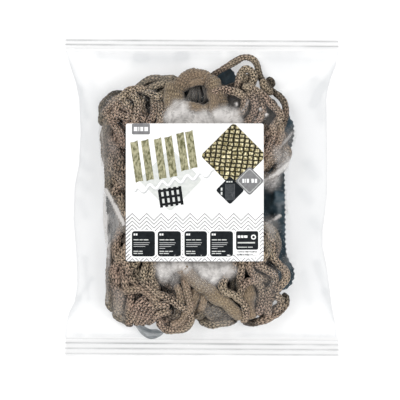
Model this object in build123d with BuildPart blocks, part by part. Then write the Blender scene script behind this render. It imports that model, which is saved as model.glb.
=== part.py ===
"""Packed hay net: a braided net folded flat inside an open-mouthed inner bag, on a dark backing
sheet, sealed in a clear pillow bag with a square label on its front.

The pack lies on its back. +X is the label's right, +Y its top, +Z its front. The origin is the
middle of the pack on the surface that it rests on. All sizes are in millimetres.
"""
from build123d import *
import os
from math import acos, degrees, pi, radians, tan

# ---- driving dimensions ----
pack_length = 290.0          # along Y, over both end seals
seal_width = 249.0           # across the end seals
top_seal_depth = 11.0
bottom_seal_depth = 17.0
film = 0.4                   # outer bag wall
pack_height = 56.0           # of the filled outer bag, over its back wall
end_gap = 1.2                # height of the filled space where it meets a seal

inner_film = 0.3             # inner bag wall
sheet = 0.3                  # dark backing sheet
label_side = 125.0
label_stock = 0.3
label_centre = (-6.0, 4.6)

net_cord = 6.5               # braid of the net, the draw rope and the base cord
mouth_cord_size = 13.5       # heavy border cord through the mouth meshes
layer_gap = 0.2              # between one flat layer and the next

# ---- heights of the flat layers ----
sheet_z = film * 2 + layer_gap
inner_back_z = sheet_z + sheet + layer_gap
net_z = inner_back_z + inner_film + 2 * layer_gap

# ---- outer bag: how far along the filled span, half width, share of the full height ----
fill_top = pack_length / 2 - top_seal_depth
fill_bottom = -pack_length / 2 + bottom_seal_depth
outer_stations = [
    (1.00, 124.0, 0.00), (0.97, 122.5, 0.25), (0.88, 118.5, 0.48), (0.70, 115.5, 0.72),
    (0.42, 114.0, 0.91), (0.00, 114.5, 1.00), (-0.42, 115.0, 0.92), (-0.70, 117.0, 0.73),
    (-0.88, 120.5, 0.48), (-0.97, 123.5, 0.25), (-1.00, 124.5, 0.00),
]
middle = (fill_top + fill_bottom) / 2
reach = (fill_top - fill_bottom) / 2
outer = [
    (middle + share * reach, half_width, max(end_gap, lift * pack_height))
    for share, half_width, lift in outer_stations
]

# ---- inner bag: Y, half width, height of its front wall over its back wall ----
inner = [
    (97.0, 93.0, 35.5), (70.0, 95.0, 44.0), (40.0, 96.0, 49.0), (0.0, 96.0, 51.0),
    (-40.0, 96.0, 49.0), (-75.0, 95.0, 42.0), (-100.0, 92.0, 31.5), (-116.0, 84.0, 20.0),
    (-124.0, 70.0, 9.0),
]

# ---- net: centre X, half width and height at each Y, for the body and its two upper folds ----
net_body = [
    (76.0, -25.0, 64.0, 36.0), (60.0, -20.0, 68.0, 40.0), (30.0, -14.0, 73.0, 44.0),
    (0.0, -14.0, 72.0, 46.0), (-40.0, -12.0, 72.0, 44.0), (-70.0, -6.0, 77.0, 38.0),
    (-95.0, -5.0, 77.0, 29.0), (-110.0, -8.0, 66.0, 18.0), (-119.0, -16.0, 42.0, 7.0),
]
upper_left_fold = [
    (79.0, -61.5, 27.5, 25.5), (90.0, -59.0, 25.0, 23.5), (100.0, -48.0, 14.0, 19.0),
    (110.0, -42.5, 7.5, 12.0),
]
upper_right_fold = [
    (79.0, 46.0, 18.5, 20.0), (89.0, 43.5, 15.0, 17.0), (97.0, 40.0, 10.0, 12.0),
]

# ---- routes of the two cords that stand clear of the net, from where they leave it ----
draw_rope_route = [
    (16.5, 115.5, 10.0), (27.5, 122.0, 7.5), (41.0, 130.0, 5.5), (51.0, 124.0, 5.8),
    (52.5, 111.0, 8.5), (62.0, 99.0, 11.5), (75.0, 90.0, 13.0), (78.0, 78.0, 14.5),
    (74.0, 64.0, 18.0), (67.5, 52.5, 22.5), (59.5, 42.5, 27.0),
]
mouth_cord_route = [
    (-23.5, 77.5, 28.0), (-23.0, 87.0, 27.0), (-22.5, 96.5, 24.5), (-15.0, 107.0, 20.0),
    (-3.0, 111.5, 18.0), (8.0, 106.5, 20.0), (14.5, 96.0, 24.5), (18.0, 86.5, 27.0),
    (19.0, 77.5, 28.0),
]
knot_centre = (63.5, 108.5, 5.8)
knot_length = 10.5
knot_thickness = 8.0
base_ring_centre = (-8.0, -88.0)
base_ring_radius = 19.0


def wall_section(y, half_width, height, wall, base_z):
    """Half an ellipse's wall, standing across the pack at one Y."""
    with BuildSketch(Plane.XZ.offset(-y)) as section:
        with BuildLine():
            EllipticalCenterArc((0, base_z), half_width, height, arc_size=180)
            Line((-half_width, base_z), (wall - half_width, base_z))
            EllipticalCenterArc((0, base_z), half_width - wall, height - wall, arc_size=180)
            Line((half_width - wall, base_z), (half_width, base_z))
        make_face()
    return section.sketch


def mound_section(y, centre, half_width, height, base_z):
    """Half an ellipse, filled, standing across the pack at one Y."""
    with BuildSketch(Plane.XZ.offset(-y)) as section:
        with BuildLine():
            EllipticalCenterArc((centre, base_z), half_width, height, arc_size=180)
            Line((centre - half_width, base_z), (centre + half_width, base_z))
        make_face()
    return section.sketch


def station_at(stations, y):
    """Half width and height of a lofted wall at any Y between two of its stations."""
    for (y1, a1, h1), (y2, a2, h2) in zip(stations, stations[1:]):
        if y2 <= y <= y1:
            share = (y1 - y) / (y1 - y2)
            return a1 + share * (a2 - a1), h1 + share * (h2 - h1)
    raise ValueError(f"no station holds y = {y}")


def corner_radii(name, route):
    """As large an arc at each corner as its two runs allow."""
    radii = []
    for before, corner, after in zip(route, route[1:], route[2:]):
        run_in = Vector(*corner) - Vector(*before)
        run_out = Vector(*after) - Vector(*corner)
        turn = radians(run_in.get_angle(run_out))
        radii.append(0.45 * min(run_in.length, run_out.length) / tan(turn / 2))
    print(name, "radii", [round(r, 1) for r in radii])
    return radii


def planform(stations):
    """The outline of a lofted wall on its base, from its top right round to its top left."""
    right = [(half_width, y) for y, half_width, _ in stations]
    left = [(-x, y) for x, y in reversed(right)]
    return right + left


os.makedirs("parts", exist_ok=True)

# ---- outer bag ----
with BuildPart() as outer_bag_back_film:
    with BuildSketch():
        with BuildLine():
            Polyline(*planform(outer), close=True)
        make_face()
    extrude(amount=film)

with BuildPart() as outer_bag_front_film:
    loft(sections=[wall_section(y, a, h, film, film) for y, a, h in outer], ruled=True)

lap_width = 12.0             # overlap of the web's two edges, welded down the middle of the back
lap_clearance = 4.0
with BuildPart() as outer_bag_back_seam:
    with BuildSketch(Plane.XY.offset(film)):
        with Locations((0, middle)):
            Rectangle(lap_width, 2 * (reach - lap_clearance))
    extrude(amount=film)

rib_radius = 1.0             # crimp lines pressed into the end seals
rib_rise = 0.5
seal_ribs = {"top": (2, 4.6), "bottom": (4, 4.1)}


def seal_section(centre_y, depth, rib_count, rib_pitch):
    """A seal's two welded walls with round crimp ribs, seen from the end of the strip."""
    with BuildSketch(Plane.YZ.offset(-seal_width / 2)) as section:
        with Locations((centre_y, film)):
            Rectangle(depth, 2 * film)
        with Locations((centre_y, 2 * film + rib_rise - rib_radius)):
            with GridLocations(rib_pitch, 1, rib_count, 1):
                Circle(rib_radius)
        with Locations((centre_y, -rib_radius)):
            Rectangle(depth, 2 * rib_radius, mode=Mode.SUBTRACT)
    return section.sketch


with BuildPart() as outer_bag_top_seal:
    extrude(
        seal_section(fill_top + top_seal_depth / 2, top_seal_depth, *seal_ribs["top"]),
        amount=seal_width, dir=(1, 0, 0))

with BuildPart() as outer_bag_bottom_seal:
    extrude(
        seal_section(fill_bottom - bottom_seal_depth / 2, bottom_seal_depth, *seal_ribs["bottom"]),
        amount=seal_width, dir=(1, 0, 0))

# ---- label: a thin patch that follows the outer bag's front ----
label_glue = 0.15
label_left = label_centre[0] - label_side / 2
label_right = label_centre[0] + label_side / 2
label_top = label_centre[1] + label_side / 2
label_bottom = label_centre[1] - label_side / 2


def label_section(y):
    """The label's thickness over the bag's front at one Y."""
    half_width, height = station_at(outer, y)
    with BuildSketch(Plane.XZ.offset(-y)) as section:
        with BuildLine():
            arcs = []
            for gap in (label_glue, label_glue + label_stock):
                a = half_width + gap
                start = degrees(acos(label_right / a))
                sweep_angle = degrees(acos(label_left / a)) - start
                arcs.append(EllipticalCenterArc(
                    (0, film), a, height + gap, start_angle=start, arc_size=sweep_angle))
            under, over = arcs
            Line(under @ 0, over @ 0)
            Line(under @ 1, over @ 1)
        make_face()
    return section.sketch


label_ys = [label_top] + [y for y, _, _ in outer if label_bottom < y < label_top] + [label_bottom]
with BuildPart() as front_label:
    loft(sections=[label_section(y) for y in label_ys], ruled=True)

# ---- dark backing sheet with pinked sides ----
sheet_left, sheet_right = -76.0, 78.0
sheet_top, sheet_bottom = 112.0, -104.0
tooth_pitch = 4.5
tooth_depth = 1.3
tooth_count = round((sheet_top - sheet_bottom) / tooth_pitch)
with BuildPart() as backing_sheet:
    with BuildSketch(Plane.XY.offset(sheet_z)):
        with BuildLine():
            right_teeth = [
                (sheet_right - tooth_depth * (i % 2), sheet_top - i * tooth_pitch / 2)
                for i in range(2 * tooth_count + 1)
            ]
            left_teeth = [(sheet_left + sheet_right - x, y) for x, y in reversed(right_teeth)]
            Polyline(*right_teeth, *left_teeth, close=True)
        make_face()
    extrude(amount=sheet)

# ---- inner bag, open at its mouth ----
with BuildPart() as inner_bag_back_film:
    with BuildSketch(Plane.XY.offset(inner_back_z)):
        with BuildLine():
            Polyline(*planform(inner), close=True)
        make_face()
    extrude(amount=inner_film)

inner_base_z = inner_back_z + inner_film
with BuildPart() as inner_bag_front_film:
    loft(
        sections=[wall_section(y, a, h, inner_film, inner_base_z) for y, a, h in inner],
        ruled=True,
    )

inner_seal_depth = 2.5
inner_end_y, inner_end_half_width, inner_end_height = inner[-1]
with BuildPart() as inner_bag_bottom_seal:
    with BuildSketch(Plane.XZ.offset(-inner_end_y)):
        with BuildLine():
            EllipticalCenterArc(
                (0, inner_base_z), inner_end_half_width, inner_end_height, arc_size=180)
            Line((-inner_end_half_width, inner_base_z), (-inner_end_half_width, inner_back_z))
            Line((-inner_end_half_width, inner_back_z), (inner_end_half_width, inner_back_z))
            Line((inner_end_half_width, inner_back_z), (inner_end_half_width, inner_base_z))
        make_face()
    extrude(amount=inner_film)

# ---- net ----
ring_pocket = 1.0            # room round the base cord, in the underside of the net
with BuildPart() as net_mesh:
    for fold in (net_body, upper_left_fold, upper_right_fold):
        loft(sections=[mound_section(y, c, a, h, net_z) for y, c, a, h in fold], ruled=True)
    with Locations((*base_ring_centre, net_z)):
        Cylinder(
            base_ring_radius + net_cord / 2 + ring_pocket, net_cord + ring_pocket,
            align=(Align.CENTER, Align.CENTER, Align.MIN), mode=Mode.SUBTRACT)

with BuildPart() as base_cord:
    with Locations((*base_ring_centre, net_z + net_cord / 2)):
        Torus(base_ring_radius, net_cord / 2)

with BuildPart() as mouth_cord:
    with BuildLine() as mouth_path:
        FilletPolyline(*mouth_cord_route, radius=corner_radii("mouth_cord", mouth_cord_route))
    with BuildSketch(Plane(origin=mouth_path.line @ 0, z_dir=mouth_path.line % 0)):
        Circle(mouth_cord_size / 2)
    sweep()

with BuildPart() as draw_rope:
    with BuildLine() as rope_path:
        FilletPolyline(*draw_rope_route, radius=corner_radii("draw_rope", draw_rope_route))
    with BuildSketch(Plane(origin=rope_path.line @ 0, z_dir=rope_path.line % 0)):
        Circle(net_cord / 2)
    sweep()

with BuildPart() as draw_rope_knot:
    with BuildSketch(Plane.XZ):
        with BuildLine():
            EllipticalCenterArc((0, 0), knot_length / 2, knot_thickness / 2, arc_size=180)
            Line((-knot_length / 2, 0), (knot_length / 2, 0))
        make_face()
    revolve(axis=Axis.X)

for cord, path, size in (
    (mouth_cord, mouth_path, mouth_cord_size), (draw_rope, rope_path, net_cord),
):
    length = path.wire().length
    expected = pi * size ** 2 / 4 * length
    print("length", round(length, 1), "volume share", round(cord.part.volume / expected, 4))

# ---- names and files ----
draw_rope_knot.part.position = knot_centre
pieces = {
    "outer_bag_front_film": outer_bag_front_film,
    "outer_bag_back_film": outer_bag_back_film,
    "outer_bag_back_seam": outer_bag_back_seam,
    "outer_bag_top_seal": outer_bag_top_seal,
    "outer_bag_bottom_seal": outer_bag_bottom_seal,
    "front_label": front_label,
    "backing_sheet": backing_sheet,
    "inner_bag_front_film": inner_bag_front_film,
    "inner_bag_back_film": inner_bag_back_film,
    "inner_bag_bottom_seal": inner_bag_bottom_seal,
    "net_mesh": net_mesh,
    "base_cord": base_cord,
    "mouth_cord": mouth_cord,
    "draw_rope": draw_rope,
    "draw_rope_knot": draw_rope_knot,
}
for name, piece in pieces.items():
    piece.part.label = name
    export_step(piece.part, f"parts/{name}.step")
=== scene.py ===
"""A packed hay net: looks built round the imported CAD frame. Lengths in this file are in
millimetres until a mesh is made; M turns them into metres."""
import bpy
import bmesh
import math
import numpy as np
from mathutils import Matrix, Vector
from mathutils.kdtree import KDTree


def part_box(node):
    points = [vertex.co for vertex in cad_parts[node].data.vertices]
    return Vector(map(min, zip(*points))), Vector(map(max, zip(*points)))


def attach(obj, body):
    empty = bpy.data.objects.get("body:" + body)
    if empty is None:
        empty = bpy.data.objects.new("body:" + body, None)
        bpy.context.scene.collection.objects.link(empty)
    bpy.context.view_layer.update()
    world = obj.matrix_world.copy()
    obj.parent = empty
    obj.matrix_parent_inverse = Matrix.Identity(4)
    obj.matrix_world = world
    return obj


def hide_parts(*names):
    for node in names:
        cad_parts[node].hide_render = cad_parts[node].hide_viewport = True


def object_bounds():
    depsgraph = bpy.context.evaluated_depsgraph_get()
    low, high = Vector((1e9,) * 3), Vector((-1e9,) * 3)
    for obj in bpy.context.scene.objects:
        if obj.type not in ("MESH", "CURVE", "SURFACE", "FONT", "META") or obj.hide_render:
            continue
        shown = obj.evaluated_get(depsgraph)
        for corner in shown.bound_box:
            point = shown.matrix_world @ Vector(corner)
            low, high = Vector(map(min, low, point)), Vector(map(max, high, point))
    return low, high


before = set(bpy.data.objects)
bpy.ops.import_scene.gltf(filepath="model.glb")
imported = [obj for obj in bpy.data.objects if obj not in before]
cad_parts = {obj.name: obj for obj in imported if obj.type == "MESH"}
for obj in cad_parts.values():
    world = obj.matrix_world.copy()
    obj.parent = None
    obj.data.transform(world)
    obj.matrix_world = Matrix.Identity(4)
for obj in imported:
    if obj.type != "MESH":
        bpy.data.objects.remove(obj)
cad_lo, cad_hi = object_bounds()
M = 0.001
RNG = np.random.default_rng(20)

# ---- camera: straight above the pack, as the picture was taken ----
centre = (cad_lo + cad_hi) / 2
cam = bpy.data.objects.new("camera", bpy.data.cameras.new("camera"))
cam.data.sensor_width, cam.data.lens = 36.0, 491.7
cam.location = (centre.x - 1.2 * M, centre.y - 2.3 * M, 5.0)
bpy.context.scene.collection.objects.link(cam)
bpy.context.scene.camera = cam


# ---- mesh helpers ----
def add_object(name, mesh, mats=()):
    obj = bpy.data.objects.new(name, mesh)
    bpy.context.scene.collection.objects.link(obj)
    for mat in mats:
        mesh.materials.append(mat)
    return obj


def raw_mesh(name, verts, quads, uv=None, attrs=None, mats=()):
    """Verts in mm and quads (indices) as one smooth mesh object."""
    me = bpy.data.meshes.new(name)
    me.vertices.add(len(verts))
    me.vertices.foreach_set("co", (np.asarray(verts) * M).astype(np.float32).ravel())
    me.loops.add(len(quads) * 4)
    me.loops.foreach_set("vertex_index", np.asarray(quads, np.int32).ravel())
    me.polygons.add(len(quads))
    me.polygons.foreach_set("loop_start", np.arange(0, len(quads) * 4, 4, dtype=np.int32))
    me.polygons.foreach_set("use_smooth", np.ones(len(quads), bool))
    if uv is not None:
        me.uv_layers.new(name="weave").data.foreach_set("uv", uv.astype(np.float32).ravel())
    for key, values in (attrs or {}).items():
        me.attributes.new(key, "FLOAT", "POINT").data.foreach_set(
            "value", np.asarray(values, np.float32).ravel())
    me.update(calc_edges=True)
    return add_object(name, me, mats)


def grid_quads(rows, cols, wrap=False):
    """Quads of a grid of vertices, rows by cols, closed round its columns if wrap."""
    r = np.arange(rows - 1)[:, None]
    c = np.arange(cols if wrap else cols - 1)[None, :]
    c2 = (c + 1) % cols
    q = np.stack([r * cols + c, r * cols + c2, (r + 1) * cols + c2, (r + 1) * cols + c], -1)
    return q.reshape(-1, 4)


def nurbs_line(route):
    """Points in mm along the smooth NURBS line that has the route as control points."""
    data = bpy.data.curves.new("route", "CURVE")
    data.dimensions = "3D"
    spline = data.splines.new("NURBS")
    spline.points.add(len(route) - 1)
    for point, at in zip(spline.points, route):
        point.co = (at[0] * M, at[1] * M, at[2] * M, 1.0)
    spline.order_u = 3
    spline.use_endpoint_u = True
    data.resolution_u = 16
    holder = bpy.data.objects.new("route", data)
    bpy.context.scene.collection.objects.link(holder)
    bpy.context.view_layer.update()
    me = bpy.data.meshes.new_from_object(
        holder.evaluated_get(bpy.context.evaluated_depsgraph_get()))
    line = np.array([v.co[:] for v in me.vertices]) / M
    bpy.data.objects.remove(holder)
    return line


def resample(line, step):
    """The same line with points an equal step apart."""
    gaps = np.linalg.norm(np.diff(line, axis=0), axis=1)
    along = np.concatenate([[0], np.cumsum(gaps)])
    n = max(4, int(round(along[-1] / step)) + 1)
    at = np.linspace(0, along[-1], n)
    return np.stack([np.interp(at, along, line[:, k]) for k in range(line.shape[1])], 1)


def smooth_line(points, step):
    """A Catmull-Rom line through the points, with points a step apart."""
    p = np.asarray(points, float)
    p = np.vstack([2 * p[0] - p[1], p, 2 * p[-1] - p[-2]])
    t = np.linspace(0, 1, 12, endpoint=False)[:, None]
    out = []
    for a, b, c, d in zip(p, p[1:], p[2:], p[3:]):
        out.append(0.5 * (2 * b + (c - a) * t + (2 * a - 5 * b + 4 * c - d) * t ** 2
                          + (3 * b - a - 3 * c + d) * t ** 3))
    out.append(p[-2][None])
    return resample(np.vstack(out), step)


# ---- smooth noise on numpy arrays ----
def lattice(ix, iy, seed):
    h = np.sin(ix * 127.1 + iy * 311.7 + seed * 74.7) * 43758.5453
    return h - np.floor(h)


def noise2(x, y, seed=0):
    ix, iy = np.floor(x), np.floor(y)
    fx, fy = x - ix, y - iy
    fx, fy = fx * fx * (3 - 2 * fx), fy * fy * (3 - 2 * fy)
    a = lattice(ix, iy, seed) * (1 - fx) + lattice(ix + 1, iy, seed) * fx
    b = lattice(ix, iy + 1, seed) * (1 - fx) + lattice(ix + 1, iy + 1, seed) * fx
    return a * (1 - fy) + b * fy


def fbm(x, y, seed=0, octaves=4):
    total, gain = 0.0, 1.0
    for k in range(octaves):
        total = total + gain * (noise2(x * 2 ** k, y * 2 ** k, seed + k) - 0.5)
        gain *= 0.5
    return total


def creases(x, y, seed=0):
    """Sharp wandering creases, as in handled film: 0 away from a crease, 1 on it."""
    wx, wy = x + 0.6 * fbm(x, y, seed + 9), y + 0.6 * fbm(x, y, seed + 19)
    return (1 - np.abs(2 * noise2(wx, wy, seed) - 1)) ** 3


# ---- braided and knitted cord ----
WALES, STITCH = 7, 3.2


def knit_height(u, v):
    """Relief of a knitted cover at wale u and row v: legs of each stitch lean together."""
    side = np.abs(2 * (u % 1) - 1)
    leg = 0.5 + 0.5 * np.cos(2 * np.pi * (v - 0.75 * side))
    return (0.35 + 0.65 * leg) * (1 - side ** 3) * (1 - 0.4 * np.exp(-(side / 0.25) ** 2))


def tube(line, radius, step=0.7, around=28, relief=0.7, twist=0.035, seed=0, wales=WALES,
         lump=0.07, pleat=0.0):
    """Vertices, quads and UVs of a knitted cord along a line; its ends are drawn in."""
    p = resample(line, step)
    n = len(p)
    tan = np.gradient(p, axis=0)
    tan /= np.linalg.norm(tan, axis=1)[:, None] + 1e-9
    normal = np.cross(tan[0], (0.0, 0.3, 1.0))
    normal /= np.linalg.norm(normal)
    normals = np.zeros_like(p)
    for k in range(n):
        normal = normal - tan[k] * (normal @ tan[k])
        normal /= np.linalg.norm(normal) + 1e-9
        normals[k] = normal
    binormals = np.cross(tan, normals)
    s = np.arange(n) * step
    local = np.random.default_rng(seed)
    turn = local.uniform(0, 6.28) + s * twist * local.choice([-1, 1])
    a = np.arange(around) / around
    wob = 1 + 2 * lump * fbm(s / 7.0, 0 * s + 5 * seed, seed + 3, 3)
    cap = np.minimum(1, np.sqrt(np.clip(np.minimum(s, s[-1] - s) / radius, 0.02, 1)))
    u = a[None, :] * wales + 0 * s[:, None]
    v = s[:, None] / STITCH + 0 * u
    rough = fbm(s[:, None] / 2.3, 1.5 * np.cos(2 * np.pi * a)[None, :] + 7 * seed, seed, 2)
    bulge = 1 + 1.4 * lump * fbm(s[:, None] / 6.0, 1.1 * np.cos(2 * np.pi * a)[None, :] + seed,
                                 seed + 7, 2)
    relief_here = relief * (0.75 + 0.9 * rough)
    r = radius * bulge * (wob * cap)[:, None] + relief_here * (knit_height(u, v) - 0.45) * cap[:, None]
    r = r + pleat * np.sin((s[:, None] + 3.0 * rough) * 2.0) * cap[:, None]
    ang = 2 * np.pi * a[None, :] + turn[:, None]
    out = (p[:, None, :] + r[..., None] * (np.cos(ang)[..., None] * normals[:, None, :]
           + np.sin(ang)[..., None] * binormals[:, None, :]))
    quads = grid_quads(n, around, wrap=True)
    row = np.arange(n - 1)[:, None] + np.zeros((1, around))
    col = np.zeros((n - 1, 1)) + np.arange(around)[None, :]
    corner = [(0, 0), (0, 1), (1, 1), (1, 0)]
    uv = np.stack([np.stack([(col + dc) / around * wales, (row + dr) * step / STITCH], -1)
                   for dr, dc in corner], 2).reshape(-1, 2)
    return out.reshape(-1, 3), quads, uv


def cord_mesh(name, strands, mats):
    """Joins several tubes, each (line, keyword arguments), into one mesh object."""
    verts, quads, uvs, tints, shift = [], [], [], [], 0
    for line, kw in strands:
        tone = kw.pop("tone", 0.0)
        v, q, uv = tube(line, **kw)
        verts.append(v)
        quads.append(q + shift)
        uvs.append(uv)
        tints.append(np.full(len(v), tone))
        shift += len(v)
    verts = np.vstack(verts)
    # how deep each point lies under the net's top; the attribute made from it paints shade on cords deep
    # in the heap
    below = ceiling(verts[:, 0], verts[:, 1]) - verts[:, 2]
    return raw_mesh(name, verts, np.vstack(quads), np.vstack(uvs),
                    {"tone": np.concatenate(tints), "depth_shade": np.clip((below - 3.4) / 7.0, 0, 1)},
                    mats)


# ---- heights of the pack's soft layers, from its own sizes ----
CORD = 6.5                     # diameter that the net's cord is laid out with
RUN_RADIUS = 3.65              # the visible runs are drawn wider than CORD, and so close up
ROPE_RADIUS = 3.0              # the draw rope, its tail and its bight are drawn thinner
HIDDEN_RUNS, HIDDEN_STEPS = 19, 230    # fill under the visible runs, in steps of 4 mm
FLOOR_Z = 1.6 + CORD / 2       # a cord's centre on the backing sheet
CEILING = np.array([           # Y, half width and height of the space that the net fills
    (-126, 66, 9), (-116, 84, 19), (-100, 92, 30), (-75, 95, 40), (-40, 96, 46), (0, 96, 48),
    (40, 96, 46), (70, 95, 41), (97, 93, 32), (108, 100, 24), (118, 112, 17), (126, 118, 12.5),
    (134, 122, 9)], float)
NET_OUTLINE = np.array([
    (-88, 74), (-87, 84), (-80, 90), (-70, 91), (-60, 96), (-50, 105), (-38, 109), (-20, 111),
    (-2, 114), (12, 112), (30, 108), (48, 104), (62, 96), (72, 88), (76, 78), (74, 60),
    (72, 46), (66, 32), (53, 22), (49, 0), (50, -20), (60, -40), (66, -56), (73, -70),
    (72, -84), (72, -98), (62, -109), (44, -114), (20, -115), (0, -113), (-8, -114),
    (-30, -121), (-40, -118), (-50, -113), (-66, -113), (-80, -104), (-83, -86), (-82, -60),
    (-80, -40), (-72, -26), (-72, -20), (-80, -4), (-85, 8), (-86, 20), (-88, 45),
    (-89, 62)], float)
# gaps in the heap that nothing fills: from, to, half width
GAPS = [((-7, 97), (-2, 92), 8.2), ((29, 88), (31, 84), 3.4), ((60, 81), (63, 73), 4.0),
        ((50.8, 103.5), (51.2, 107.5), 2.3), ((64, 92.5), (73, 86), 1.2),
        ((66, -92.5), (67.5, -92), 1.3), ((-50, -115.5), (-43.5, -117), 1.6), ((22, 108), (30, 112), 5.0)]


def ceiling(x, y):
    a = np.interp(y, CEILING[:, 0], CEILING[:, 1])
    h = np.interp(y, CEILING[:, 0], CEILING[:, 2])
    return 1.8 + h * np.sqrt(np.clip(1 - (x / a) ** 2, 0.03, 1))


def inside(x, y, polygon):
    """True where a point is inside a closed polygon."""
    hit = np.zeros(np.shape(x), bool)
    for (x1, y1), (x2, y2) in zip(polygon, np.roll(polygon, -1, axis=0)):
        crosses = (y1 > y) != (y2 > y)
        hit ^= crosses & (x < (x2 - x1) * (y - y1) / (y2 - y1 + 1e-12) + x1)
    return hit


# ---- the two cords that stand clear of the net, on part.py's route points ----
DRAW_ROPE = [
    (16.5, 115.5, 10.0), (27.5, 122.0, 7.5), (41.0, 130.0, 5.5), (51.0, 124.0, 5.8),
    (52.5, 111.0, 8.5), (62.0, 99.0, 11.5), (75.0, 90.0, 13.0), (78.0, 78.0, 14.5),
    (74.0, 64.0, 18.0), (67.5, 52.5, 22.5), (59.5, 42.5, 27.0)]
MOUTH_CORD = [
    (-23.5, 77.5, 28.0), (-23.0, 87.0, 27.0), (-22.0, 97.5, 24.5), (-14.5, 108.0, 20.0),
    (-3.0, 113.2, 18.0), (8.0, 108.0, 20.0), (14.0, 97.5, 24.5), (17.5, 87.0, 27.0),
    (19.0, 77.5, 28.0)]
draw_rope_line = nurbs_line(DRAW_ROPE)
mouth_line = nurbs_line(MOUTH_CORD)
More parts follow.
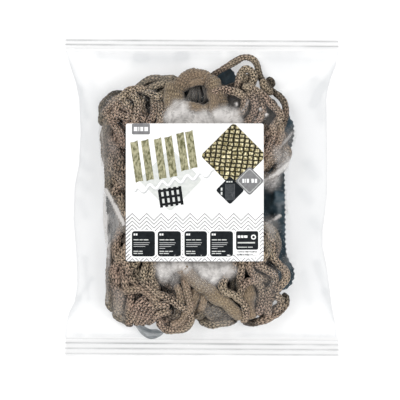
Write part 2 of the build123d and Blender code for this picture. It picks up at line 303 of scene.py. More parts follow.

# ---- the net's visible runs: tone, layer from the top, points on the pack's face ----
# tone 0 is clear brown braid, 1 is greyed by a painted veil of the film over it, -1 is tan; above 1 the
# braid is darkened by painted shade
RUNS = [
    # top left
    (0, 0, [(-88, 75), (-85, 81), (-78, 87.5), (-71, 92.5), (-62, 97.5), (-55, 98.5),
            (-49, 96.5), (-44, 93), (-38, 90.5), (-33, 94), (-27, 97)]),
    (1, .9, [(-89, 66), (-91, 76), (-89, 84), (-84, 90), (-77, 93.5), (-70, 92)]),
    (.8, 1, [(-64, 90), (-60, 97), (-54, 103), (-46, 108), (-36, 109), (-27, 108), (-20, 102)]),
    (.9, 1.6, [(-66, 86), (-56, 97), (-46, 102), (-34, 103), (-22, 100)]),
    (.5, 2, [(-70, 84), (-60, 92), (-48, 97), (-36, 99), (-24, 94)]),
    (0, .3, [(-80, 90), (-74, 88), (-68, 84), (-64, 78), (-62, 70), (-64, 60)]),
    (0, 0, [(-67, 95), (-61, 90), (-58, 84), (-58, 76), (-60, 69), (-57, 60)]),
    (0, .5, [(-51, 96), (-54, 90), (-56, 83), (-53, 76), (-49, 72), (-47, 62)]),
    (0, 0, [(-45, 90), (-43, 84), (-42.5, 78), (-45, 72), (-49, 66), (-52, 60)]),
    (0, 0, [(-38, 89), (-36, 80), (-37, 72), (-40, 64), (-40, 56)]),
    (0, .5, [(-33, 91), (-31, 84), (-31.5, 76), (-33, 68), (-36, 60)]),
    (0, .2, [(-88, 69), (-82, 74.5), (-75, 76), (-69, 73.5), (-62, 72), (-55, 73), (-48, 69),
             (-42, 64)]),
    (0, 0, [(-88, 83), (-84, 76), (-80, 69), (-76, 62), (-72, 54), (-71, 44)]),
    (0, .8, [(-79, 60), (-81, 68), (-78, 80), (-72, 83), (-67, 78), (-66, 68)]),
    (0, .6, [(-72, 70), (-66, 66), (-60, 66), (-54, 64), (-48, 60)]),
    (0, 1.2, [(-86, 58), (-84, 66), (-86, 74)]),
    (0, .5, [(-64, 90), (-73, 90), (-81, 86.5), (-85, 80), (-85, 72), (-81, 66)]),
    (0, .1, [(-70, 86), (-77, 83), (-79, 76), (-75, 69)]),
    # left column
    (.4, .2, [(-56, 95), (-48, 99.5), (-40, 102), (-32, 102), (-27, 99)]),
    (.9, .3, [(-78, 77), (-85, 71), (-88.5, 63), (-89, 55), (-88, 45), (-86, 30), (-85, 20),
              (-83, 8), (-80, 0), (-77, -8), (-74, -15), (-70, -24), (-66, -34)]),
    (0, .7, [(-76, 68), (-76.5, 60), (-77, 50), (-76, 35), (-78, 20), (-76, 8), (-74, 0),
             (-71, -12), (-67, -22), (-63, -34)]),
    (0, 1, [(-70, 62), (-71, 45), (-69.5, 25), (-71, 8), (-68, -10), (-66, -24)]),
    (0, 1, [(-83, 58), (-82, 40), (-83, 20), (-79, 4), (-76, -8), (-72, -20)]),
    (.3, 0, [(-86, 56), (-81, 50), (-76, 44), (-73, 35), (-74, 26)]),
    (0, 0, [(-70, 56), (-75, 47), (-80, 38), (-82, 28), (-80, 18)]),
    (.3, 0, [(-84, 30), (-79, 23), (-74, 16), (-71, 6)]),
    (0, 0, [(-70, 22), (-74, 12), (-79, 5), (-80, -4)]),
    (0, 0, [(-80, 4), (-75, -3), (-72, -12), (-68, -18)]),
    (.7, .6, [(-70, -24), (-77, -36), (-82, -50), (-83.5, -65), (-83.5, -85), (-83, -100),
              (-79, -107)]),
    (0, .7, [(-68, -18), (-73, -30), (-76.5, -44), (-77, -58), (-76, -70), (-76.5, -80),
             (-78, -90), (-77.5, -100), (-75, -107), (-70, -112)]),
    (0, .7, [(-64, -36), (-69, -48), (-71, -60), (-70, -80), (-71, -95), (-71, -104),
             (-68, -112)]),
    (0, 0, [(-80, -46), (-76, -53), (-70, -58), (-66, -64), (-66, -73), (-69, -80)]),
    (0, 0, [(-70, -44), (-73, -54), (-79, -62), (-81, -70), (-78, -79)]),
    (.3, 0, [(-83, -72), (-78, -82), (-74, -90), (-74, -100), (-78, -107)]),
    # bottom left
    (0, 1, [(-60, -84), (-62, -95), (-64, -105), (-63, -115)]),
    (-.4, 0, [(-76, -82), (-67, -84), (-60, -83.5), (-53, -85), (-47, -88), (-40, -92.5),
            (-34, -98)]),
    (0, 0, [(-51, -50), (-51, -60), (-51.5, -70), (-51, -80), (-49, -88)]),
    (0, 0, [(-44, -52), (-44.5, -62), (-44, -72), (-42, -80), (-39, -86)]),
    (0, 1, [(-66, -52), (-63, -60), (-58, -66), (-57, -74), (-61, -82)]),
    (0, .4, [(-56, -50), (-59, -58), (-64, -65), (-63, -75), (-57, -82)]),
    (0, 0, [(-58, -70), (-52, -76), (-47, -81), (-41, -87), (-34, -91), (-26, -95),
            (-18, -100), (-12, -105), (-9.5, -110.5), (-12, -116), (-19, -120.5), (-27, -121.5),
            (-34, -119.5), (-37.5, -115), (-36, -110)]),
    (-.7, 0, [(-28, -116), (-19, -113), (-12, -106), (-9.5, -99), (-11, -92), (-13, -84),
              (-14, -74), (-15, -62)]),
    (-.6, .4, [(-21, -120), (-16, -112), (-15, -104), (-17, -96), (-20, -88), (-22, -78)]),
    (0, 0, [(-68, -116), (-64, -112), (-60, -105), (-56, -98), (-51, -92), (-45, -87)]),
    (0, 0, [(-61, -116), (-57, -111), (-53, -104), (-47, -97.5), (-42, -93), (-36, -90)]),
    (0, 0, [(-55, -116), (-52, -111), (-48, -105.5), (-42, -100), (-36, -96.5), (-29, -97)]),
    (0, 0, [(-50, -115), (-45, -111), (-40, -106), (-35, -103.5), (-27, -103)]),
    (0, 1, [(-40, -102), (-33, -108), (-30, -113), (-27, -119)]),
    (0, 1, [(-28, -100), (-19, -107), (-20, -113), (-28, -115)]),
    (.9, 1, [(-81, -104), (-76, -109), (-69, -113), (-62, -117)]),
    # bottom middle
    (-1, 1, [(-8, -98), (-7, -88), (-2.5, -83.5), (2, -88), (1, -96), (-2, -104), (-1, -112)]),
    (.3, 1, [(-2, -111), (6, -115), (15, -116), (25, -114), (33, -110)]),
    (-.5, 1, [(8, -92), (6, -100), (8, -108), (14, -113)]),
    (-.5, 1, [(17, -98), (18, -106), (24, -112)]),
    (0, 0, [(28, -50), (28, -60), (26, -68), (20, -75), (18, -80.5), (22, -85), (30, -88),
            (36, -93), (40, -100), (41, -107), (37, -113)]),
    # bottom right
    (0, 0, [(35, -48), (36, -58), (36, -70), (35, -78), (34, -87)]),
    (0, 0, [(36, -94), (37, -83), (43, -76), (50, -76.5), (55, -82), (56.5, -90), (55, -98),
            (52, -106)]),
    (0, 0, [(42, -50), (42, -60), (45, -66), (49, -72), (56, -77)]),
    (0, 0, [(43, -54), (50, -58.5), (56, -62), (62, -66), (66, -71), (66, -78), (61, -86)]),
    (0, 0, [(58, -30), (63, -40), (65, -49), (66, -57), (70, -61), (76, -66), (76.5, -72),
            (72, -80), (67, -86), (60, -88)]),
    (0, 1, [(48, -68), (55, -72), (62, -74), (69, -77)]),
    (0, 1, [(50, -84), (52, -92), (54, -100), (57, -108), (54, -113)]),
    (0, 0, [(61, -79), (60, -90), (61, -100), (60, -109)]),
    (0, .4, [(-62, -87), (-65.5, -95), (-66, -104), (-64, -112)]),
    (0, 0, [(62, -102), (62, -94), (66, -89), (71, -89.5), (73.5, -94), (71, -100),
            (64, -102.5)]),
    (0, 1, [(75, -86), (76, -94), (73.5, -100), (69, -105), (62, -109.5), (54, -113),
            (45, -115), (36, -113)]),
    (0, 0, [(56, -46), (58, -53), (55, -59), (50, -64)]),
    # right column
    (-.3, 0, [(70, 74), (72.5, 62), (71, 50), (65, 40), (59, 32), (52, 24)]),
    (0, 0, [(66, 69), (65.5, 61), (63, 50), (57, 40), (50, 32)]),
    (0, 0, [(58, 60), (64, 55), (70, 58), (76, 55)]),
    (0, .4, [(54, 48), (61, 45), (68, 47), (73, 42)]),
    (-.4, 1, [(76, 60), (76, 48), (70, 38), (63, 30), (56, 22)]),
    (0, 1, [(59, 67), (58.5, 60), (56, 50), (50, 40)]),
    (.8, 0, [(50, -24), (58, -26), (65, -31), (68.5, -39), (68, -48), (64, -58)]),
    (.5, .4, [(52, -30), (59, -34), (63, -41), (62, -50), (58, -58)]),
    (.9, .4, [(54, 22), (61, 18), (67, 22), (68, 29), (63, 33)]),
    (.6, .3, [(64, 34), (70, 33), (77, 36), (79, 42), (75, 47), (68, 46)]),
    (.5, 0, [(48, -36), (57, -38), (62, -44), (60, -52), (54, -56)]),
    # top right
    (0, 1, [(33.5, 97), (34.5, 106), (36.5, 113), (40.5, 117), (45, 116), (48, 111.5),
            (46.5, 105), (44.5, 97)]),
    (0, 1.2, [(38.5, 97), (39.5, 104), (41, 110), (43.2, 109), (42, 103), (41, 96)]),
    (-.2, .6, [(56.5, 108), (57, 104), (58.5, 100.5), (61.5, 97), (65, 93.5)]),
    (0, 0, [(38, 98.5), (45, 98.5), (50, 96.5), (56, 92), (62, 87.5), (67, 83), (70.5, 78),
            (71, 71), (68, 63)]),
    (-.2, 1, [(36, 95), (44, 92), (50, 89), (55, 87), (60, 85)]),
    (0, 0, [(10, 92), (19, 96.5), (26, 97), (33, 95.5), (38.5, 91), (39.5, 84), (37, 78),
            (31, 73), (24, 70)]),
    (0, 0, [(41, 97), (46.5, 93), (48.5, 86), (48, 78), (44, 71), (38, 64)]),
    (0, .6, [(50, 94), (54.5, 88), (55.5, 80), (53, 71), (48, 64)]),
    (.6, 1.4, [(-26, 74), (-16, 80), (-4, 82), (8, 79), (22, 72)]),
    (.6, 1.4, [(14, 84), (20, 78), (28, 74), (34, 66)]),
]
HEAVY = [   # thick smooth cords of the net's mouth and base: radius, tone, layer, points
    (6.4, -1, 0, [(-24, -56), (-14, -67), (-1, -79), (12, -89), (22, -97), (32, -104.5),
                  (38, -109)]),
    (6.0, -1, 0, [(44, -74), (43.5, -84), (44, -95), (44.5, -104), (43, -111)]),
    (5.4, -1, 0.25, [(9, 102), (11.8, 97), (13, 91), (13, 84), (12.5, 75)]),
    (5.6, -.8, 0, [(-24, 106), (-25.5, 98), (-26, 88), (-27, 76)]),
    (5.8, -1, .1, [(-3, -80), (-7, -90), (-9, -100), (-13, -108), (-22, -114)]),
    (4.4, -1, .3, [(-19, 86), (-12, 82.5), (-4, 81), (4, 81.5), (11, 85)]),
    (3.7, -1, .35, [(-17, 99), (-12, 105), (-3, 108), (5, 106), (9, 101)]),
    # thin strands in the mouth's hole; their tones above 1 paint shade on them
    (1.2, 1.1, .7, [(-14, 86), (-12, 94), (-8, 103)]), (1.1, 1.4, .9, [(-10, 84), (-9, 104)]),
    (1.3, 1.0, .7, [(-8, 83), (-6.5, 93), (-7, 104)]), (1.1, 1.3, .8, [(-5, 84), (-4, 104)]),
    (1.3, 1.1, .7, [(1, 84), (4, 93), (0, 105)]), (1.2, 1.0, .8, [(-2, 84), (-1, 94), (-3, 104)]),
]
BASE_RING = [(-8 + 19 * math.cos(t), -88 + 19 * math.sin(t))
             for t in np.linspace(0.4, 2 * math.pi + 0.1, 17)]


def lay(points, layer, radius):
    """A run's line in 3-D: on the net's rounded top, or so many cords below it."""
    flat = smooth_line(points, 3.2)
    k = np.arange(len(flat)) * 0.31
    flat = flat + np.column_stack([fbm(k, 0 * k + points[0][1], 3, 2),
                                   fbm(k, 0 * k + points[0][0], 4, 2)]) * 2.6
    z = ceiling(flat[:, 0], flat[:, 1]) - radius - 0.82 * CORD * layer
    ends = np.minimum(np.arange(len(z)), np.arange(len(z))[::-1])
    z -= CORD * 0.9 * np.clip(1 - ends / 4.0, 0, 1)
    return np.column_stack([flat, np.maximum(z, FLOOR_Z)])


def fill_runs(count, steps):
    """Seeded meanders that fill the net below its visible runs."""
    middle = NET_OUTLINE.mean(0)
    shrunk = middle + (NET_OUTLINE - middle) * 0.955
    runs = []
    for k in range(count):
        while True:
            p = np.array([RNG.uniform(-88, 76), RNG.uniform(-122, 112)])
            if inside(p[0], p[1], shrunk):
                break
        heading, level = RNG.uniform(0, 6.28), RNG.uniform(0.0, 0.86)
        bend, line = 0.0, []
        for s in range(steps):
            line.append((p[0], p[1], level + 0.06 * math.sin(s / 7 + k)))
            bend = 0.86 * bend + RNG.normal(0, 0.13)
            heading += bend
            ahead = p + 12 * np.array([math.cos(heading), math.sin(heading)])
            if not inside(ahead[0], ahead[1], shrunk):
                home = math.atan2(middle[1] - p[1], middle[0] - p[0])
                turn = (home - heading + math.pi) % (2 * math.pi) - math.pi
                heading += 0.34 * np.sign(turn)
                bend = 0.0
            p = p + 4.0 * np.array([math.cos(heading), math.sin(heading)])
            if not inside(p[0], p[1], NET_OUTLINE):
                p = p + 0.05 * (middle - p)
        q = np.array(line)
        top = ceiling(q[:, 0], q[:, 1]) - CORD * 1.3
        runs.append(np.column_stack([q[:, :2], FLOOR_Z + q[:, 2] * np.maximum(top - FLOOR_Z, 0)]))
    return runs


def near_pairs(p, strand, reach):
    """Index pairs of particles within reach, leaving out neighbours on one strand."""
    tree = KDTree(len(p))
    for k, at in enumerate(p):
        tree.insert(at, k)
    tree.balance()
    first, second = [], []
    for k, at in enumerate(p):
        for _, j, _ in tree.find_range(at, reach):
            if j > k and (strand[j] != strand[k] or j - k > 5):
                first.append(k)
                second.append(j)
    return np.array(first), np.array(second)


def keep_clear(p, r, f):
    """Moves the fill sideways out of the heap's open gaps."""
    fill = np.where(f == 0)[0]
    for (x1, y1), (x2, y2), width in GAPS:
        dx, dy = x2 - x1, y2 - y1
        t = np.clip(((p[fill, 0] - x1) * dx + (p[fill, 1] - y1) * dy) / (dx * dx + dy * dy), 0, 1)
        away = p[fill, :2] - np.column_stack([x1 + t * dx, y1 + t * dy])
        far = np.linalg.norm(away, axis=1) + 1e-6
        short = np.clip(width + r[fill] - far, 0, None)
        p[fill, :2] += away / far[:, None] * short[:, None]
    middle = NET_OUTLINE.mean(0)
    shrunk = middle + (NET_OUTLINE - middle) * 0.955
    out = fill[~inside(p[fill, 0], p[fill, 1], shrunk)]
    p[out, :2] += 0.05 * (middle - p[out, :2])


def settle(lines, radii, firm, rounds=64):
    """Pushes the cords apart until they rest on each other, inside the pack's space.
    firm is 1 for a cord that is fixed, about 0.5 for a visible run and 0 for the fill."""
    p = np.vstack(lines)
    strand = np.concatenate([np.full(len(q), k) for k, q in enumerate(lines)])
    r = np.concatenate([np.full(len(q), radii[k]) for k, q in enumerate(lines)])
    f = np.concatenate([np.full(len(q), firm[k]) for k, q in enumerate(lines)])
    start = p.copy()
    link = np.where(strand[1:] == strand[:-1])[0]
    rest = np.linalg.norm(p[link + 1] - p[link], axis=1)
    loose = np.where(f >= 1, 0.0, np.where(f > 0, 0.45, 1.0))
    for turn in range(rounds):
        if turn % 8 == 0:
            i, j = near_pairs(p, strand, 9.5 if max(radii) < 5 else 13.0)
        d = p[j] - p[i]
        dist = np.linalg.norm(d, axis=1) + 1e-6
        need = (r[i] + r[j]) * 0.97 - dist
        hit = need > 0
        a, b, n = i[hit], j[hit], d[hit] / dist[hit, None]
        n[:, 2] = np.where(np.abs(n[:, 2]) < 0.25, np.where(start[b, 2] >= start[a, 2], 0.25,
                                                            -0.25), n[:, 2])
        push = 0.42 * need[hit, None] * n
        share = loose[a] + loose[b] + 1e-9
        move, count = np.zeros_like(p), np.ones(len(p))
        np.add.at(move, a, -push * (2 * loose[a] / share)[:, None])
        np.add.at(move, b, push * (2 * loose[b] / share)[:, None])
        np.add.at(count, a, 0.5)
        np.add.at(count, b, 0.5)
        p += move / count[:, None] * 1.3
        d = p[link + 1] - p[link]
        dist = np.linalg.norm(d, axis=1)[:, None]
        pull = 0.25 * d * (1 - rest[:, None] / np.maximum(dist, 1e-6))
        ok = (loose[link] > 0)[:, None]
        np.add.at(p, link, pull * ok)
        np.add.at(p, link + 1, -pull * ok)
        mid = np.where(strand[2:] == strand[:-2])[0] + 1
        even = 0.5 * (p[mid - 1] + p[mid + 1]) - p[mid]
        p[mid] += even * (np.where(f[mid] > 0, 0.16, 0.2) * (f[mid] < 1))[:, None]
        held = (f > 0) & (f < 1)
        p[held, :2] += 0.5 * (start[held, :2] - p[held, :2])
        p[held, 2] += 0.03 * (start[held, 2] - p[held, 2])
        top = ceiling(p[:, 0], p[:, 1]) - r
        low = 1.6 + r
        free = f < 1
        p[free, 2] = np.clip(p[free, 2], low[free], np.maximum(top, low)[free])
        p[f >= 1] = start[f >= 1]
        keep_clear(p, r, f)
    return np.split(p, np.cumsum([len(q) for q in lines])[:-1])


# ---- materials ----
def material(name):
    mat = bpy.data.materials.new(name)
    mat.use_nodes = True
    mat.node_tree.nodes.clear()
    return mat, mat.node_tree.nodes, mat.node_tree.links


def put(sockets, key, value, links):
    """Links a socket, or sets its value."""
    if isinstance(value, bpy.types.NodeSocket):
        links.new(value, sockets[key])
    else:
        sockets[key].default_value = value


def calc(nodes, links, op, a, b=0.0, c=0.0):
    node = nodes.new("ShaderNodeMath")
    node.operation = op
    for key, value in enumerate((a, b, c)):
        put(node.inputs, key, value, links)
    return node.outputs[0]


def blend_colour(nodes, links, fac, a, b):
    node = nodes.new("ShaderNodeMix")
    node.data_type = "RGBA"
    put(node.inputs, 0, fac, links)
    put(node.inputs, 6, a, links)
    put(node.inputs, 7, b, links)
    return node.outputs[2]


def noise_at(nodes, links, scale, detail=2.0, stretch=None, distortion=0.0):
    """Noise in object space; scale is per metre, stretch squeezes it along an axis."""
    coord = nodes.new("ShaderNodeTexCoord")
    out = coord.outputs["Object"]
    if stretch:
        mapping = nodes.new("ShaderNodeMapping")
        mapping.inputs["Scale"].default_value = stretch[:3]
        if len(stretch) > 3:
            mapping.inputs["Rotation"].default_value = (0, 0, stretch[3])
        links.new(out, mapping.inputs["Vector"])
        out = mapping.outputs[0]
    node = nodes.new("ShaderNodeTexNoise")
    node.inputs["Scale"].default_value = scale
    node.inputs["Detail"].default_value = detail
    node.inputs["Distortion"].default_value = distortion
    links.new(out, node.inputs["Vector"])
    return node.outputs["Fac"]


def attribute(nodes, name):
    node = nodes.new("ShaderNodeAttribute")
    node.attribute_name = name
    return node.outputs["Fac"]


def finish_material(nodes, links, shader):
    out = nodes.new("ShaderNodeOutputMaterial")
    links.new(shader, out.inputs["Surface"])


def bump(nodes, links, height, strength, distance):
    node = nodes.new("ShaderNodeBump")
    node.inputs["Strength"].default_value = strength
    node.inputs["Distance"].default_value = distance
    links.new(height, node.inputs["Height"])
    return node.outputs[0]


def span(nodes, links, value, low, high, to_low=0.0, to_high=1.0):
    node = nodes.new("ShaderNodeMapRange")
    for key, v in zip(("Value", "From Min", "From Max", "To Min", "To Max"),
                      (value, low, high, to_low, to_high)):
        put(node.inputs, key, v, links)
    return node.outputs[0]


def knit_material(name, light, dark, contrast=1.0, fuzz=0.12):
    """Knitted cord: chevron stitches from the weave UV, painted shade between them, fuzzy fibres."""
    mat, nodes, links = material(name)
    uv = nodes.new("ShaderNodeUVMap")
    uv.uv_map = "weave"
    parts = nodes.new("ShaderNodeSeparateXYZ")
    links.new(uv.outputs[0], parts.inputs[0])
    wobble = noise_at(nodes, links, 420, 2)
    side = calc(nodes, links, "ABSOLUTE", calc(nodes, links, "MULTIPLY_ADD",
                calc(nodes, links, "FRACT", parts.outputs[0]), 2.0, -1.0))
    phase = calc(nodes, links, "MULTIPLY_ADD", side, -0.75, parts.outputs[1])
    phase = calc(nodes, links, "MULTIPLY_ADD", wobble, 1.1, phase)
    leg = calc(nodes, links, "MULTIPLY_ADD", calc(nodes, links, "COSINE",
               calc(nodes, links, "MULTIPLY", phase, 2 * math.pi)), 0.5, 0.5)
    edge = calc(nodes, links, "SUBTRACT", 1.0, calc(nodes, links, "POWER", side, 3.0))
    height = calc(nodes, links, "MULTIPLY", calc(nodes, links, "POWER", leg, 1.1), edge)
    fibre = noise_at(nodes, links, 2600, 3)
    speck = noise_at(nodes, links, 850, 2)
    patch = noise_at(nodes, links, 60, 3)
    # lit runs from the near-black painted shade between stitches up to the yarn's colour on their crests
    lit = calc(nodes, links, "MULTIPLY_ADD", height, contrast, -0.02)
    for grain, amount in ((fibre, 0.6), (speck, 1.2), (patch, 0.9)):
        lit = calc(nodes, links, "ADD", lit, calc(nodes, links, "MULTIPLY",
                   calc(nodes, links, "SUBTRACT", grain, 0.5), amount))
    lit = span(nodes, links, lit, 0.0, 1.0)
    hue = span(nodes, links, noise_at(nodes, links, 28, 2), 0.38, 0.62)
    warm = (light[0] * 0.93, light[1] * 0.84, light[2] * 0.80, 1)
    straw = (light[0] * 1.02, light[1] * 1.03, light[2] * 0.90, 1)
    colour = blend_colour(nodes, links, lit, dark + (1,),
                          blend_colour(nodes, links, hue, warm, straw))
    tone = attribute(nodes, "tone")
    grey = calc(nodes, links, "ABSOLUTE", calc(nodes, links, "SUBTRACT", tone, 1.0))
    grey = span(nodes, links, grey, 1.0, 0.0)
    # above 1, tone paints shade: the colour's value falls from 1 at tone 1 to 0.3 at tone 2
    deep = span(nodes, links, tone, 1.0, 2.0, 1.0, 0.30)
    tan = span(nodes, links, tone, 0.0, -1.0)
    colour = blend_colour(nodes, links, calc(nodes, links, "MULTIPLY", grey, 0.62), colour,
                          (0.165, 0.158, 0.138, 1))
    colour = blend_colour(nodes, links, calc(nodes, links, "MULTIPLY", tan, 0.5), colour,
                          (0.34, 0.25, 0.165, 1))
    darker = nodes.new("ShaderNodeHueSaturation")
    # the Value below is painted shade: lower for tone above 1 and for cords deep under the net's top
    links.new(calc(nodes, links, "MULTIPLY", deep,
                   span(nodes, links, attribute(nodes, "depth_shade"), 0.0, 1.0, 1.0, 0.30)),
              darker.inputs["Value"])
    links.new(colour, darker.inputs["Color"])
    bsdf = nodes.new("ShaderNodeBsdfPrincipled")
    links.new(darker.outputs[0], bsdf.inputs["Base Color"])
    bsdf.inputs["Roughness"].default_value = 0.86
    bsdf.inputs["Specular IOR Level"].default_value = 0.25
    bsdf.inputs["Sheen Weight"].default_value = fuzz
    bsdf.inputs["Sheen Roughness"].default_value = 0.5
    relief = calc(nodes, links, "MULTIPLY_ADD", fibre, 0.35, height)
    links.new(bump(nodes, links, relief, 0.9, 0.0005), bsdf.inputs["Normal"])
    finish_material(nodes, links, bsdf.outputs[0])
    return mat


def film_material(name, tint, gloss, rough=0.09, ripple=0.25, glare_haze=False):
    """Clear film: see-through, glossy by angle, dimmed by the painted shade in 'shade', milky and painted
    with glare where 'haze' is.
    """
    mat, nodes, links = material(name)
    clear = nodes.new("ShaderNodeBsdfTransparent")
    links.new(blend_colour(nodes, links, attribute(nodes, "shade"), (1, 1, 1, 1), tint + (1,)),
              clear.inputs["Color"])
    shine = nodes.new("ShaderNodeBsdfGlossy")
    shine.inputs["Roughness"].default_value = rough
    wrinkle = noise_at(nodes, links, 130, 2, distortion=1.2)
    links.new(bump(nodes, links, wrinkle, ripple, 0.0008), shine.inputs["Normal"])
    facing = nodes.new("ShaderNodeLayerWeight")
    facing.inputs["Blend"].default_value = 0.5
    fac = calc(nodes, links, "MULTIPLY_ADD",
               calc(nodes, links, "POWER", facing.outputs["Facing"], 3.5), 0.4, gloss)
    if glare_haze:
        fac = calc(nodes, links, "MULTIPLY", fac,
                   calc(nodes, links, "MULTIPLY_ADD", attribute(nodes, "haze"), 0.94, 0.06))
    mix = nodes.new("ShaderNodeMixShader")
    for key, value in enumerate((fac, clear.outputs[0], shine.outputs[0])):
        put(mix.inputs, key, value, links)
    if not glare_haze:
        finish_material(nodes, links, mix.outputs[0])
        return mat
    # the 'haze' layer is partly the milky haze of crumpled film and partly painted glare: a whitish
    # diffuse colour laid over the film
    broad = noise_at(nodes, links, 60, 5, stretch=(1.0, 0.55, 1.0, 0.6), distortion=2.4)
    fine = noise_at(nodes, links, 190, 5, stretch=(0.6, 1.0, 1.0, 0.5), distortion=3.0)
    line = calc(nodes, links, "ABSOLUTE", calc(nodes, links, "SUBTRACT", noise_at(
        nodes, links, 48, 1, stretch=(0.8, 1.0, 1.0), distortion=2.5), 0.5))
    line = span(nodes, links, line, 0.0, 0.018, 0.5, 0.0)
    rough_haze = calc(nodes, links, "MULTIPLY_ADD", broad, 1.7, -0.12)
    rough_haze = calc(nodes, links, "ADD", line,
                      calc(nodes, links, "MULTIPLY_ADD", fine, 0.75, rough_haze))
    haze = calc(nodes, links, "MULTIPLY", attribute(nodes, "haze"),
                calc(nodes, links, "SUBTRACT", rough_haze, 0.06))
    opacity = span(nodes, links, haze, 0.04, 1.15, 0.0, 0.84)
    painted_glare = nodes.new("ShaderNodeBsdfDiffuse")
    links.new(blend_colour(nodes, links, opacity, (0.50, 0.46, 0.43, 1), (0.88, 0.845, 0.815, 1)),
              painted_glare.inputs["Color"])
    last = nodes.new("ShaderNodeMixShader")
    for key, value in enumerate((opacity, mix.outputs[0], painted_glare.outputs[0])):
        put(last.inputs, key, value, links)
    finish_material(nodes, links, last.outputs[0])
    return mat


def ink(name, colour, other, scale=300, stretch=None, rough=0.55, low=0.35, high=0.65):
    """Printed paper: one colour varied towards another by fine noise."""
    mat, nodes, links = material(name)
    fac = span(nodes, links, noise_at(nodes, links, scale, 4, stretch), low, high)
    bsdf = nodes.new("ShaderNodeBsdfPrincipled")
    links.new(blend_colour(nodes, links, fac, colour + (1,), other + (1,)),
              bsdf.inputs["Base Color"])
    bsdf.inputs["Roughness"].default_value = rough
    bsdf.inputs["Specular IOR Level"].default_value = 0.1
    grain = noise_at(nodes, links, 1800, 2)
    links.new(bump(nodes, links, grain, 0.12, 0.0002), bsdf.inputs["Normal"])
    finish_material(nodes, links, bsdf.outputs[0])
    return mat


def picture_material():
    """Printed picture of hay behind a slanted net: pale cells between dark crossed cords."""
    mat, nodes, links = material("picture_print")
    coord = nodes.new("ShaderNodeTexCoord")
    mapping = nodes.new("ShaderNodeMapping")
    mapping.inputs["Rotation"].default_value = (0, 0, 0.10)
    mapping.inputs["Scale"].default_value = (1.0, 1.28, 1.0)
    links.new(coord.outputs["Object"], mapping.inputs["Vector"])
    cells = nodes.new("ShaderNodeTexVoronoi")
    cells.feature = "DISTANCE_TO_EDGE"
    cells.voronoi_dimensions = "2D"
    cells.inputs["Scale"].default_value = 204
    cells.inputs["Randomness"].default_value = 0.26
    links.new(mapping.outputs[0], cells.inputs["Vector"])
    open_cell = span(nodes, links, cells.outputs["Distance"], 0.085, 0.28)
    straw = noise_at(nodes, links, 760, 3, (1.0, 0.6, 1.0, 0.5))
    broad = noise_at(nodes, links, 45, 2)
    hay = blend_colour(nodes, links, span(nodes, links, straw, 0.40, 0.64),
                       (0.20, 0.165, 0.065, 1), (0.95, 0.86, 0.56, 1))
    hay = blend_colour(nodes, links, span(nodes, links, broad, 0.42, 0.66, 0, 0.45), hay,
                       (0.15, 0.12, 0.055, 1))
    colour = blend_colour(nodes, links, open_cell, (0.009, 0.008, 0.004, 1), hay)
    bsdf = nodes.new("ShaderNodeBsdfPrincipled")
    links.new(colour, bsdf.inputs["Base Color"])
    bsdf.inputs["Roughness"].default_value = 0.6
    bsdf.inputs["Specular IOR Level"].default_value = 0.1
    links.new(bump(nodes, links, straw, 0.1, 0.0002), bsdf.inputs["Normal"])
    finish_material(nodes, links, bsdf.outputs[0])
    return mat


def sheet_material():
    """Dark slate packing sheet: slightly shiny, with fine creases and a pressed grain; lighter where its
    folds rise, a painted sheen.
    """
    mat, nodes, links = material("slate_sheet")
    fold = noise_at(nodes, links, 60, 5, (1, 0.6, 1), 1.5)
    grain = noise_at(nodes, links, 1500, 2)
    # colour follows the fold relief: lighter on the crests, a painted sheen
    colour = blend_colour(nodes, links, span(nodes, links, fold, 0.35, 0.7),
                          (0.010, 0.028, 0.040, 1), (0.044, 0.086, 0.114, 1))
    bsdf = nodes.new("ShaderNodeBsdfPrincipled")
    links.new(colour, bsdf.inputs["Base Color"])
    bsdf.inputs["Roughness"].default_value = 0.34
    relief = calc(nodes, links, "MULTIPLY_ADD", grain, 0.03, fold)
    links.new(bump(nodes, links, relief, 0.35, 0.0015), bsdf.inputs["Normal"])
    finish_material(nodes, links, bsdf.outputs[0])
    return mat


# each braid's second colour is the painted shade between its stitches
knit = knit_material("net_braid", (0.60, 0.475, 0.385), (0.006, 0.004, 0.002), 1.45)
heavy_knit = knit_material("mouth_braid", (0.66, 0.52, 0.37), (0.014, 0.009, 0.006), 0.85,
                          0.3)
sheet_mat = sheet_material()
outer_mat = film_material("outer_film", (0.78, 0.79, 0.80), 0.002, 0.05)
back_mat = film_material("back_film", (0.80, 0.80, 0.80), 0.002, 0.1)
seal_mat = film_material("seal_film", (0.50, 0.505, 0.51), 0.05, 0.2)
# the folded film's deep tint carries its painted shade
tail_mat = film_material("folded_film", (0.22, 0.245, 0.26), 0.03, 0.12)
inner_mat = film_material("inner_film", (0.46, 0.48, 0.49), 0.03, 0.08, 0.2, glare_haze=True)


# ---- the net, its mouth cord and its draw rope ----
def build_net():
    lines = [draw_rope_line, mouth_line]
    lines = [resample(q, 3.2) for q in lines]
    radii, firm, tones = [3.25, 6.75], [1, 1], [0, -1]
    for tone, layer, points in RUNS:
        lines.append(lay(points, layer, CORD / 2))
        radii.append(RUN_RADIUS)
        firm.append(0.5)
        tones.append(tone)
    for radius, tone, layer, points in HEAVY:
        lines.append(lay(points, layer, radius))
        radii.append(radius)
        firm.append(0.5)
        tones.append(tone)
    lines.append(lay(BASE_RING, 2, CORD / 2))
    radii.append(CORD / 2)
    firm.append(0.5)
    tones.append(-0.4)
    shown = len(lines)
    for q in fill_runs(HIDDEN_RUNS, HIDDEN_STEPS):
        lines.append(q)
        radii.append(CORD / 2)
        firm.append(0)
        # the hidden fill's tone of 1.8 darkens it with painted shade
        tones.append(1.8)
    lines = settle(lines, radii, firm)
    return lines, radii, tones, shown


